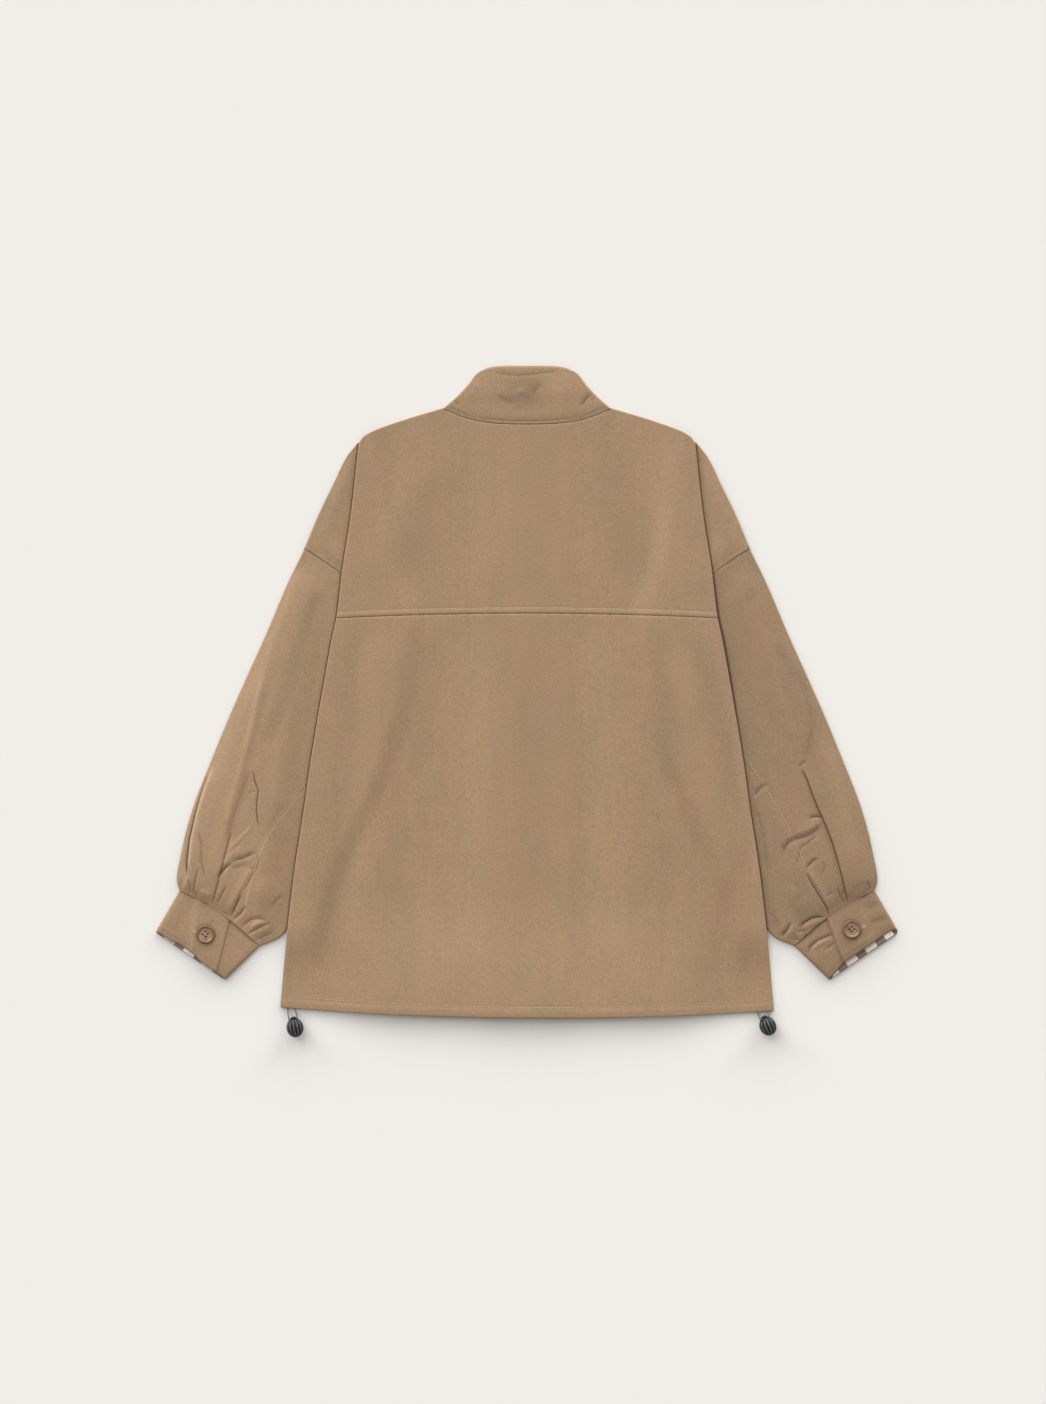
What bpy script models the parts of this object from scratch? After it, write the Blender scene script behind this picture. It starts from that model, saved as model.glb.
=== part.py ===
"""A hip-length raincoat in thin woven cloth, laid flat on its front and seen from its back.

X runs across the back, Y from the hem to the collar and Z up from the surface it lies on.
Left and right are the wearer's: left is at -X. Sizes are in millimetres until a mesh is made.
"""

import math
from collections import namedtuple

import bmesh
import bpy
from mathutils import Vector

MM = 0.001

# Cloth and the layers it lies in
CLOTH = 1.5                     # wall of shell and lining together
AIR = 0.35                      # between two layers that lie on each other
LAYER = CLOTH + AIR             # from the middle of one layer to the middle of the next
ON_FLOOR = CLOTH / 2            # middle of the lowest layer
SECOND = ON_FLOOR + LAYER
TURN = LAYER / 2                # radius of a fold, at the middle of the cloth
SEAM_GAP = 0.4
TURN_STEPS = 4

# Body
NECK_HALF = 101.0               # half the collar seam, where it meets the shoulder
NECK_SIDE_Y = 340.8
NECK_BACK_Y = 321.1
NECK_FRONT_Y = 262.0
YOKE_SEAM_Y = 94.3              # at the middle of the back
YOKE_SEAM_DROP = 5.8            # lower at the sides
HEM_Y = -391.2
HEM_RISE = 11.0                 # higher at the sides
HEM_TILT = -0.007               # lower towards the right
HEM_HALF = 296.0
HEM_CHANNEL = 13.4
CHANNEL_GROOVE = 0.35           # depth of the stitched line above the channel
FRONT_LAP = 22.0                # each front passes the middle by this much
LAP_FLAT = 26.0                 # the inner front lies on the outer one up to here
LAP_DOWN = 40.0                 # and is on the surface again from here
BACK_LAP_FLAT = 42.0            # the back lies on the lapped fronts up to here
BACK_LAP_DOWN = 72.0
SIDE_RISE = 30.0                # width over which the back climbs onto its turned side
SIDE_DROP = 14.0                # width over which the turned side comes down to the surface

# Collar
COLLAR_TOP_Y = 391.2
COLLAR_TOP_FRONT_Y = 332.0
COLLAR_CORNER_Y = 385.0
COLLAR_BACK = SECOND + 0.8      # the firm band folds less tightly

# Sleeves and cuffs
SLEEVE_PUFF = 3.4               # how much higher the middle of the sleeve stands
SLEEVE_LAP = 12.0               # the top sleeve laps the under sleeve above the cuff
CUFF_BOW = 6.0                  # the sleeve seam curves up in the middle of the cuff
CUFF_SHORT = 0.9                # the upper side of the cuff ends short of the lower one
CUFF_OPEN = 1.5                 # how much wider the cuff stands open at its edge
CUFF_UNDERLAP = 0.33            # share of the cuff's width that lies under the buttoned end
CUFF_CLIMB = 0.10
CUFF_OUTER_TOP = Vector((417.0, -238.0))
CUFF_OUTER_END = Vector((446.0, -288.5))
CUFF_INNER_END = Vector((362.6, -345.7))
CUFF_INNER_TOP = Vector((321.5, -305.5))
LINING = 0.9
LINING_SIDES = 0.06
LINING_TOP = 0.80
LINING_END = 0.985

# Buttons, cords and cord locks
BUTTON_RADIUS = 10.9
BUTTON_HEIGHT = 2.7
BUTTON_RIM = 2.0
BUTTON_DISH = 0.8
BUTTON_HOLE = 1.05
BUTTON_HOLE_OUT = 2.1           # from the middle of the button, along X and Y
CORD_RADIUS = 0.85
CORD_STEP = 3.0
LOCK_HALF = Vector((10.3, 11.7, 9.5))
LOCK_UP = 9.6                   # middle of the lock above the surface
LOCK_SLOT = Vector((12.2, 32.0, 2.5))
LOCK_SLOT_END = -5.0
PLUNGER_RADIUS = 3.4
PLUNGER_PLAY = 0.35
PLUNGER_FROM = 3.0
PLUNGER_TO = 13.0

# The side of the back, by height: where it turns under, how far in the turned cloth lies flat,
# from where the back rests on it, and how much of the sleeve's height lies below it
Side = namedtuple("Side", "y fold under plateau lift")
SIDES = [
    Side(y=299, fold=202.0, under=194, plateau=190, lift=1),
    Side(y=212, fold=211.6, under=187, plateau=180, lift=1),
    Side(y=150, fold=221.3, under=179, plateau=168, lift=1),
    Side(y=91, fold=228.5, under=170, plateau=150, lift=1),
    Side(y=64, fold=234.2, under=168, plateau=150, lift=1),
    Side(y=-10, fold=247.5, under=178, plateau=161, lift=1),
    Side(y=-85, fold=260.0, under=200, plateau=183, lift=1),
    Side(y=-142, fold=268.0, under=225, plateau=208, lift=1),
    Side(y=-206, fold=278.0, under=255, plateau=238, lift=1),
    Side(y=-262, fold=285.0, under=274, plateau=256, lift=1),
    Side(y=-292, fold=288.2, under=279, plateau=262, lift=1),
    Side(y=-335, fold=292.4, under=282, plateau=266, lift=0),
    Side(y=-382, fold=296.4, under=284, plateau=268, lift=0),
]

# The shoulder line from the collar to where the side starts to fold
Shoulder = namedtuple("Shoulder", "x y")
SHOULDER = [
    Shoulder(x=101, y=340.8),
    Shoulder(x=147, y=327.0),
    Shoulder(x=181, y=314.8),
    Shoulder(x=195, y=307.0),
    Shoulder(x=203, y=299.0),
]

# Rows of the yoke: the height of its side fold and the end of the drop shoulder under it,
# first down the garment's outline and then along the armhole to the armpit
YokeRow = namedtuple("YokeRow", "y end_x end_y")
YOKE_ROWS = [
    YokeRow(y=299.0, end_x=203.0, end_y=299),
    YokeRow(y=281.0, end_x=217.0, end_y=281),
    YokeRow(y=255.0, end_x=231.6, end_y=251),
    YokeRow(y=228.0, end_x=250.0, end_y=213),
    YokeRow(y=200.0, end_x=267.5, end_y=171),
    YokeRow(y=172.0, end_x=245.0, end_y=157),
    YokeRow(y=144.0, end_x=222.0, end_y=140),
    YokeRow(y=116.0, end_x=196.0, end_y=114),
    YokeRow(y=88.5, end_x=174.0, end_y=89),
]
NECK_STATIONS = [0, 21.2, 42.4, 57.6, 72.7, 86.9, 101]
BACK_STATIONS = [0.2, 0.4, 0.6, 0.78, 0.92, 1]
HEM_STITCH_LEVEL = 1 - HEM_CHANNEL / (YOKE_SEAM_Y - HEM_Y)
PANEL_LEVELS = [0, 0.05, 0.12, 0.2, 0.28, 0.36, 0.43, 0.49, 0.56, 0.63, 0.7, 0.76, 0.815,
                0.86, 0.91, 0.955, HEM_STITCH_LEVEL, 1]

# Rows of a front, from the neck to the hem: its edge at the middle and at the side
FrontRow = namedtuple("FrontRow", "middle_y side_x side_y neck")
FRONT_ROWS = [
    FrontRow(middle_y=262, side_x=203.0, side_y=299.0, neck=1.0),
    FrontRow(middle_y=235, side_x=217.0, side_y=281.0, neck=0.6),
    FrontRow(middle_y=205, side_x=231.6, side_y=251.0, neck=0.3),
    FrontRow(middle_y=175, side_x=250.0, side_y=213.0, neck=0.1),
    FrontRow(middle_y=145, side_x=267.5, side_y=171.0, neck=0.0),
    FrontRow(middle_y=122, side_x=245.0, side_y=157.0, neck=0.0),
    FrontRow(middle_y=106, side_x=222.0, side_y=140.0, neck=0.0),
    FrontRow(middle_y=94, side_x=196.0, side_y=114.0, neck=0.0),
    FrontRow(middle_y=87, side_x=174.0, side_y=91.0, neck=0.0),
]
LAP_STATIONS = [-FRONT_LAP, 2, LAP_FLAT, LAP_DOWN]
FRONT_STATIONS = [0.123, 0.247, 0.374, 0.58, 0.8, 1]

# The collar, by height: half its width
CollarRow = namedtuple("CollarRow", "share half")
COLLAR_ROWS = [
    CollarRow(share=0.0, half=101),
    CollarRow(share=0.33, half=84),
    CollarRow(share=0.66, half=70),
    CollarRow(share=0.9, half=62),
    CollarRow(share=1.0, half=56),
]

# Sections of a sleeve from armhole to cuff: the visible outer edge, the inner edge tucked
# below the body, and where the back seam crosses each sleeve as a share of the width
Section = namedtuple("Section", "share outer_x outer_y inner_x inner_y seam_left seam_right")
SECTIONS = [
    Section(0.000, 267.5, 171.0, 174.0, 89.0, 0.84, 0.84),
    Section(0.100, 288.0, 129.0, 175.0, 56.0, 0.84, 0.83),
    Section(0.220, 313.0, 70.0, 177.0, 22.0, 0.83, 0.80),
    Section(0.340, 337.0, 17.0, 184.0, -20.0, 0.82, 0.76),
    Section(0.460, 359.0, -33.0, 196.0, -62.0, 0.80, 0.71),
    Section(0.580, 379.0, -82.0, 213.0, -104.0, 0.75, 0.65),
    Section(0.700, 398.0, -130.0, 234.0, -150.0, 0.66, 0.60),
    Section(0.800, 409.5, -168.0, 253.0, -190.0, 0.60, 0.58),
    Section(0.880, 416.5, -200.0, 269.0, -228.0, 0.60, 0.56),
    Section(0.930, 420.0, -218.0, 280.0, -262.0, 0.60, 0.54),
    Section(0.965, 420.0, -228.0, 293.0, -291.0, 0.62, 0.55),
    Section(1.000, 417.0, -238.0, 321.5, -305.5, 0.64, 0.57),
]
SLEEVE_LEVELS = [0, 0.05, 0.11, 0.18, 0.26, 0.34, 0.42, 0.5, 0.58, 0.66, 0.73, 0.79, 0.84,
                 0.88, 0.915, 0.945, 0.97, 1]
TOP_COLUMNS = 14
TOP_UNDERSIDE_COLUMNS = 4
UNDER_COLUMNS = 7
FRONT_SEAM = 0.5                # hidden seam on the sleeve's lower side, as a share of its width

# The largest folds: a straight stretch each, above zero a ridge and below zero a trough
Fold = namedtuple("Fold", "side start_x start_y end_x end_y width height")
SLEEVE_FOLDS = [
    Fold(-1, 383, -94, 406, -217, 7, 1.6),
    Fold(-1, 332, -58, 363, -196, 13, 2.6),
    Fold(-1, 338, -204, 372, -227, 8, -1.6),
    Fold(-1, 345, -240, 330, -205, 9, 1.4),
    Fold(1, 329, -87, 368, -181, 10, 2.4),
    Fold(1, 368, -181, 384, -239, 9, 2.2),
    Fold(1, 323, -188, 350, -166, 8, -1.4),
    Fold(1, 327, -282, 359, -271, 7, -1.3),
]
BACK_FOLDS = [
    Fold(0, -132, 80, -118, -250, 26, 0.9),
    Fold(0, -12, 84, -20, -180, 24, 0.8),
    Fold(0, 84, 84, 96, -290, 26, 0.9),
    Fold(0, -70, 60, -64, -330, 22, 0.6),
    Fold(0, 36, 40, 44, -330, 22, 0.6),
    Fold(0, -110, 286, -150, 130, 26, 0.8),
    Fold(0, 118, 286, 140, 130, 26, 0.8),
]

# The buttoned end of each cuff: where it ends at the sleeve and at the edge, as shares of the
# cuff's width, and where its button sits
CuffEnd = namedtuple("CuffEnd", "side lap_top lap_end button_x button_y")
CUFF_ENDS = {
    "left": CuffEnd(side=-1, lap_top=0.60, lap_end=0.86, button_x=-385.2, button_y=-290.4),
    "right": CuffEnd(side=1, lap_top=0.57, lap_end=0.73, button_x=389.3, button_y=-284.4),
}
CUFF_LEVELS = [0, 0.2, 0.45, 0.7, 0.88, 1]

# The hem's cord loops, from one end in the hem channel through the lock to the other end
CORD_ROUTES = {
    "left": [
        (-287.3, -380.0, 1.7), (-287.0, -383.0, 3.6), (-286.3, -387.0, 7.2),
        (-285.5, -390.4, 9.3), (-284.6, -393.4, 9.6), (-283.4, -398.0, 9.6),
        (-282.5, -401.9, 9.6), (-280.6, -404.8, 9.6), (-277.1, -405.5, 9.6),
        (-274.2, -403.6, 9.6), (-273.5, -400.2, 9.6), (-274.1, -396.2, 9.6),
        (-274.9, -391.8, 9.6), (-275.8, -388.4, 8.6), (-277.0, -384.8, 5.2),
        (-278.2, -382.2, 2.8), (-278.9, -380.5, 1.7),
    ],
    "right": [
        (277.0, -384.4, 1.7), (277.4, -386.6, 3.8), (278.2, -389.0, 6.8),
        (279.1, -391.2, 9.1), (280.1, -393.2, 9.6), (282.2, -397.3, 9.6),
        (283.9, -401.0, 9.6), (286.4, -403.4, 9.6), (289.9, -403.4, 9.6),
        (292.4, -400.9, 9.6), (292.4, -397.4, 9.6), (290.9, -393.6, 9.6),
        (289.4, -389.8, 9.6), (289.2, -387.9, 8.2), (289.3, -386.3, 5.8),
        (289.5, -384.9, 3.5), (289.8, -383.7, 1.7),
    ],
}
Lock = namedtuple("Lock", "x y tilt")
LOCKS = {
    "left": Lock(x=-277.8, y=-402.0, tilt=10.7),
    "right": Lock(x=288.5, y=-400.1, tilt=23.0),
}


# Small measuring functions

def smooth(low, high, value):
    """0 below low, 1 above high, and an even curve between them."""
    share = min(max((value - low) / (high - low), 0.0), 1.0)
    return share * share * (3 - 2 * share)


def mix(first, second, share):
    return first * (1 - share) + second * share


def read(table, key, at, column):
    """A column of a table at a key between its rows, on a smooth curve through them."""
    rows = sorted(table, key=lambda row: getattr(row, key))
    keys = [getattr(row, key) for row in rows]
    values = [getattr(row, column) for row in rows]
    last = len(rows) - 1
    at = min(max(at, keys[0]), keys[-1])
    low = max(i for i in range(last) if keys[i] <= at)

    def slope(i):
        before, after = max(i - 1, 0), min(i + 1, last)
        return (values[after] - values[before]) / (keys[after] - keys[before])

    span = keys[low + 1] - keys[low]
    t = (at - keys[low]) / span
    return (
        (1 + 2 * t) * (1 - t) ** 2 * values[low]
        + t * (1 - t) ** 2 * span * slope(low)
        + t * t * (3 - 2 * t) * values[low + 1]
        - t * t * (1 - t) * span * slope(low + 1)
    )


def side(y, column):
    return read(SIDES, "y", y, column)


def neck_back_y(x):
    return NECK_BACK_Y + (NECK_SIDE_Y - NECK_BACK_Y) * (abs(x) / NECK_HALF) ** 3


def neck_front_y(x):
    return NECK_FRONT_Y + (NECK_SIDE_Y - NECK_FRONT_Y) * (abs(x) / NECK_HALF) ** 2.2


def shoulder_y(x):
    return read(SHOULDER, "x", abs(x), "y")


def yoke_seam_y(x):
    return YOKE_SEAM_Y - YOKE_SEAM_DROP * (abs(x) / side(YOKE_SEAM_Y, "fold")) ** 2


def hem_y(x):
    return HEM_Y + HEM_RISE * (x / HEM_HALF) ** 2 + HEM_TILT * x


def fold_height(folds, flank, x, y):
    """How much the folds of one flank raise the cloth at a point."""
    height = 0.0
    for fold in folds:
        if fold.side != flank:
            continue
        start = Vector((fold.start_x, fold.start_y))
        run = Vector((fold.end_x, fold.end_y)) - start
        share = (Vector((x, y)) - start).dot(run) / run.length_squared
        nearest = start + run * min(max(share, 0.0), 1.0)
        away = (Vector((x, y)) - nearest).length
        height += fold.height * math.exp(-((away / fold.width) ** 2))
    return height


def back_height(x, y):
    """Middle of the back's visible cloth above the surface."""
    lap = LAYER * (1 - smooth(BACK_LAP_FLAT, BACK_LAP_DOWN, abs(x)))
    plateau = side(y, "plateau")
    climb = 2 * LAYER * side(y, "lift") * smooth(plateau - SIDE_RISE, plateau, abs(x))
    return SECOND + lap + climb + fold_height(BACK_FOLDS, 0, x, y)


# Building functions

def finish(name, colour, roughness):
    material = bpy.data.materials.new(name)
    material.use_nodes = True
    shader = material.node_tree.nodes["Principled BSDF"]
    shader.inputs["Base Color"].default_value = (*colour, 1)
    shader.inputs["Roughness"].default_value = roughness
    shader.inputs["Metallic"].default_value = 0
    material.diffuse_color = (*colour, 1)
    return material


def add_object(name, mesh, material):
    data = bpy.data.meshes.new(name)
    mesh.to_mesh(data)
    mesh.free()
    data.materials.append(material)
    made = bpy.data.objects.new(name, data)
    bpy.context.scene.collection.objects.link(made)
    return made


def cloth(name, rows, material, thickness=CLOTH):
    """A wall of cloth whose middle passes through rows of points."""
    columns, levels = len(rows[0]) - 1, len(rows) - 1
    mesh = bmesh.new()
    bmesh.ops.create_grid(mesh, x_segments=columns, y_segments=levels, size=0.5)
    for vert in mesh.verts:
        column = round((vert.co.x + 0.5) * columns)
        level = round((vert.co.y + 0.5) * levels)
        vert.co = Vector(rows[level][column]) * MM
    made = add_object(name, mesh, material)
    made.data.shade_smooth()
    wall = made.modifiers.new("Wall", "SOLIDIFY")
    wall.thickness = thickness * MM
    wall.offset = 0
    return made


def turn(x, upper, lower, outward):
    """A fold from an upper layer to a lower one, round a middle TURN_STEPS + 1 points long.

    x is the fold's furthest point, outward is 1 where the cloth turns back from its outer side.
    """
    radius = (upper - lower) / 2
    points = []
    for step in range(1, TURN_STEPS):
        angle = math.pi * step / TURN_STEPS
        points.append((
            x - outward * radius * (1 - math.sin(angle)),
            upper - radius * (1 - math.cos(angle)),
        ))
    return points


def both_halves(half):
    """A row from one side to the other, made from its right half and a mirrored left one."""
    return [(-x, y, z) for x, y, z in reversed(half[1:])] + half


# The back

def flat_stations(y):
    """Where the columns of the visible back lie at a height, from the middle to its fold."""
    flat = side(y, "fold") - CLOTH / 2 - TURN
    return NECK_STATIONS + [mix(NECK_HALF, flat, share) for share in BACK_STATIONS]


def back_half(upper_edge, lower_edge, share, edge_y, side_path):
    """The right half of a row: the visible back out to its fold, then the path below it."""
    fold = side(edge_y, "fold") - CLOTH / 2
    points = []
    for x, upper_y, lower_y in zip(flat_stations(edge_y), upper_edge, lower_edge):
        y = mix(upper_y, lower_y, share)
        points.append((x, y, back_height(x, y)))
    upper = points[-1][2]
    points += [(x, edge_y, z) for x, z in turn(fold, upper, upper - LAYER, 1)]
    return points + side_path(fold - TURN, edge_y, upper - LAYER)


def yoke_rows():
    first, last = YOKE_ROWS[0], YOKE_ROWS[-1]
    upper_edge = [shoulder_y(x) if x > NECK_HALF else neck_back_y(x) for x in flat_stations(first.y)]
    upper_edge = [*[y - SEAM_GAP for y in upper_edge[:-1]], first.y]
    lower_edge = [yoke_seam_y(x) for x in flat_stations(last.y)]
    rows = []
    for row in YOKE_ROWS:
        def drop_shoulder(start, y, z, row=row):
            under = side(y, "under")
            points = [(mix(start, under + TURN, i / 2), y, z) for i in range(3)]
            points += [(x, y, height) for x, height in turn(under, z, z - LAYER, -1)]
            for i in range(6):
                share = i / 5
                points.append((
                    mix(under + TURN, row.end_x, share),
                    mix(y, row.end_y, share),
                    mix(z - LAYER, SECOND, smooth(0, 0.4, share)),
                ))
            return points

        share = (first.y - row.y) / (first.y - last.y)
        rows.append(back_half(upper_edge, lower_edge, share, row.y, drop_shoulder))
    return [both_halves(row) for row in rows]


def panel_side_y(share):
    """Height of the panel's side at a share of the way from the yoke seam to the hem."""
    return mix(yoke_seam_y(side(YOKE_SEAM_Y, "fold")) - SEAM_GAP, HEM_Y + HEM_RISE, share)


def panel_rows():
    def turned_side(start, y, z):
        under = side(y, "under")
        points = [(mix(start, under, i / 3), y, z) for i in range(4)]
        for i in range(1, 4):
            points.append((under - SIDE_DROP * i / 3, y, mix(z, ON_FLOOR, smooth(0, 1, i / 3))))
        return points

    rows = []
    for share in PANEL_LEVELS:
        edge_y = panel_side_y(share)
        stations = flat_stations(edge_y)
        upper_edge = [yoke_seam_y(x) - SEAM_GAP for x in stations]
        lower_edge = [HEM_Y + HEM_RISE * (x / HEM_HALF) ** 2 for x in stations]
        half = back_half(upper_edge, lower_edge, share, edge_y, turned_side)
        rows.append(both_halves(half))
    return [[hem_line(point, level) for point in row] for level, row in zip(PANEL_LEVELS, rows)]


def hem_line(point, share):
    """Tilts the hem, and presses the stitched line above its channel into the visible cloth."""
    x, y, z = point
    groove = CHANNEL_GROOVE if share == HEM_STITCH_LEVEL and z > SECOND else 0
    return (x, y + HEM_TILT * x * share ** 4, z - groove)


# The fronts

def front_stations(side_x):
    return LAP_STATIONS + [mix(LAP_DOWN, side_x, share) for share in FRONT_STATIONS]


def neck_bows():
    """How far the neck and shoulder stand above a straight line, at each column of a front."""
    first = FRONT_ROWS[0]
    bows = []
    for x in front_stations(first.side_x):
        edge = neck_front_y(x) - 2 * SEAM_GAP if x < NECK_HALF - 1 else shoulder_y(x) - SEAM_GAP
        share = (x + FRONT_LAP) / (first.side_x + FRONT_LAP)
        bows.append(edge - mix(first.middle_y, first.side_y, share))
    return bows


def front_rows(lapped):
    """A front in its own half: lapped is true for the one that lies on the other at the middle."""
    flank = 1 if lapped else -1
    bows = neck_bows()
    edges = list(FRONT_ROWS)
    for share in PANEL_LEVELS:
        y = panel_side_y(share)
        x = side(y, "under") - SIDE_DROP - SEAM_GAP
        middle = mix(FRONT_ROWS[-1].middle_y - 3, HEM_Y, share)
        tilt = HEM_TILT * flank * x * share ** 4
        top = 2 * SEAM_GAP if share == 0 else 0
        edges.append(FrontRow(middle_y=middle, side_x=x, side_y=y + tilt + top, neck=0))
    rows = []
    for edge in edges:
        row = []
        for index, x in enumerate(front_stations(edge.side_x)):
            share = (x + FRONT_LAP) / (edge.side_x + FRONT_LAP)
            y = mix(edge.middle_y, edge.side_y, share) + bows[index] * edge.neck
            if edge is edges[-1]:
                y = hem_y(flank * x)
            raised = LAYER * (1 - smooth(LAP_FLAT, LAP_DOWN, x)) if lapped else 0
            row.append((flank * x, y, ON_FLOOR + raised))
        rows.append(row)
    return rows


# The collar

def collar_rows():
    rows = []
    for level in COLLAR_ROWS:
        right = collar_half(level, lapped=True)
        left = [(-x, y, z) for x, y, z in collar_half(level, lapped=False)]
        rows.append(list(reversed(left[1:])) + right)
    return rows


def collar_half(level, lapped):
    """Half the band at one height: the back, the side fold and the front past the middle."""
    points = []
    edge = level.half - CLOTH / 2
    flat = edge - (COLLAR_BACK - ON_FLOOR) / 2
    for neck_x in NECK_STATIONS:
        station = neck_x / NECK_HALF
        x = station * flat
        top = mix(COLLAR_TOP_Y, COLLAR_CORNER_Y, station ** 6)
        y = mix(neck_back_y(station * NECK_HALF), top, level.share)
        lap = LAYER * (1 - smooth(BACK_LAP_FLAT, BACK_LAP_DOWN, x))
        points.append((x, y, COLLAR_BACK + lap * (1 - smooth(0.45, 0.9, level.share))))
    corner_y = points[-1][1]
    points += [(x, corner_y, z) for x, z in turn(edge, COLLAR_BACK, ON_FLOOR, 1)]
    front = [mix(LAP_DOWN, flat, share) for share in (1, 0.66, 0.33)]
    for x in [*front, *reversed(LAP_STATIONS)]:
        station = min(abs(x) / flat, 1)
        top = mix(COLLAR_TOP_FRONT_Y, COLLAR_CORNER_Y, station ** 2)
        y = mix(neck_front_y(station * NECK_HALF), top, level.share)
        raised = LAYER * (1 - smooth(LAP_FLAT, LAP_DOWN, x)) if lapped else 0
        points.append((x, y, ON_FLOOR + raised))
    return points


# The sleeves

def section(share, column):
    return read(SECTIONS, "share", share, column)


def armhole(share):
    """A point of the armhole seam, from the garment's outline to the armpit."""
    rows = YOKE_ROWS[4:]
    place = share * (len(rows) - 1)
    low = min(int(place), len(rows) - 2)
    first = Vector((rows[low].end_x, rows[low].end_y))
    second = Vector((rows[low + 1].end_x, rows[low + 1].end_y))
    return first.lerp(second, place - low)


def sleeve_place(level, across, width):
    """A point of the sleeve in plan, across millimetres in from its outer edge."""
    outer = Vector((section(level, "outer_x"), section(level, "outer_y")))
    inner = Vector((section(level, "inner_x"), section(level, "inner_y")))
    share = min(max(across / width, 0.0), 1.0)
    place = outer + (inner - outer).normalized() * across
    straight = armhole(0).lerp(armhole(1), share)
    place += (armhole(share) - straight) * max(1 - level / 0.2, 0.0) ** 2
    cuff_up = (CUFF_INNER_TOP - CUFF_OUTER_TOP).orthogonal().normalized()
    if cuff_up.y < 0:
        cuff_up.negate()
    place += cuff_up * (4 * share * (1 - share) * CUFF_BOW * smooth(0.9, 1, level))
    down = Vector((0.3, -0.95))
    place += down * (SEAM_GAP * 1.8 * (1 - smooth(0, 0.05, level)))
    return place + cuff_up * (SEAM_GAP * 1.4 * smooth(0.97, 1, level))


def sleeve_width(level):
    outer = Vector((section(level, "outer_x"), section(level, "outer_y")))
    return (Vector((section(level, "inner_x"), section(level, "inner_y"))) - outer).length


def sleeve_height(flank, level, across, width):
    """Middle of the sleeve's upper cloth: flat where the body covers it and soft outside."""
    place = sleeve_place(level, across, width)
    free = smooth(0, 16, across - TURN) * smooth(0, 16, width - across - TURN)
    free *= smooth(4, 38, place.x - side(place.y, "fold"))
    free *= smooth(0, 0.12, level) * (1 - 0.6 * smooth(0.93, 1, level))
    soft = SLEEVE_PUFF + fold_height(SLEEVE_FOLDS, flank, place.x, place.y)
    return SECOND + max(soft, 0) * free


def sleeve_rows(flank, upper, edge, lower, raised=None):
    """Rows of one piece of a sleeve: its upper side, the fold at its edge and its lower side.

    upper and lower give how far in from the outer edge each side runs, as two lists of
    distances; edge is 1 for the fold at the outer edge and -1 for the one at the inner edge.
    """
    rows = []
    for level in SLEEVE_LEVELS:
        width = sleeve_width(level)
        row = []
        for across in upper(level, width):
            place = sleeve_place(level, across, width)
            z = sleeve_height(flank, level, across, width)
            if raised:
                z += raised(level, across, width)
            row.append((flank * place.x, place.y, z))
        limit = CLOTH / 2 if edge > 0 else width - CLOTH / 2
        for across, z in turn(limit, SECOND, ON_FLOOR, -edge):
            place = sleeve_place(level, across, width)
            row.append((flank * place.x, place.y, z))
        for across in lower(width):
            place = sleeve_place(level, across, width)
            row.append((flank * place.x, place.y, ON_FLOOR))
        rows.append(row)
    return rows


def spread(start, end, count):
    return [mix(start, end, i / count) for i in range(count + 1)]


def add_sleeve(name, flank, material):
    seam_column = f"seam_{name}"
    near = CLOTH / 2 + TURN

    def lap(level):
        return smooth(0.88, 0.93, level)

    def top_upper(level, width):
        end = section(level, seam_column) * width - SEAM_GAP / 2 + SLEEVE_LAP * lap(level)
        return spread(end, near, TOP_COLUMNS)

    def top_lower(width):
        return spread(near, FRONT_SEAM * width - SEAM_GAP / 2, TOP_UNDERSIDE_COLUMNS)

    def over_the_vent(level, across, width):
        seam = section(level, seam_column) * width
        return LAYER * smooth(0.79, 0.86, level) * smooth(seam - 16, seam - 2, across)

    def under_upper(level, width):
        start = section(level, seam_column) * width + SEAM_GAP / 2
        return spread(start, width - near, UNDER_COLUMNS)

    def under_lower(width):
        return spread(width - near, FRONT_SEAM * width + SEAM_GAP / 2, TOP_UNDERSIDE_COLUMNS)

    cloth(f"sleeve_top_{name}", sleeve_rows(flank, top_upper, 1, top_lower, over_the_vent), material)
    cloth(f"sleeve_under_{name}", sleeve_rows(flank, under_upper, -1, under_lower), material)


# The cuffs

def cuff_place(level, across):
    """A point of a cuff in plan, by its share down from the sleeve and share in from outside."""
    outer = CUFF_OUTER_TOP.lerp(CUFF_OUTER_END, level)
    inner = CUFF_INNER_TOP.lerp(CUFF_INNER_END, level)
    up = (CUFF_OUTER_TOP - CUFF_OUTER_END).normalized()
    return outer.lerp(inner, across) + up * (4 * across * (1 - across) * CUFF_BOW * (1 - level) ** 2)


def cuff_height(level):
    return SECOND + CUFF_OPEN * smooth(0, 0.6, level)


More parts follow.
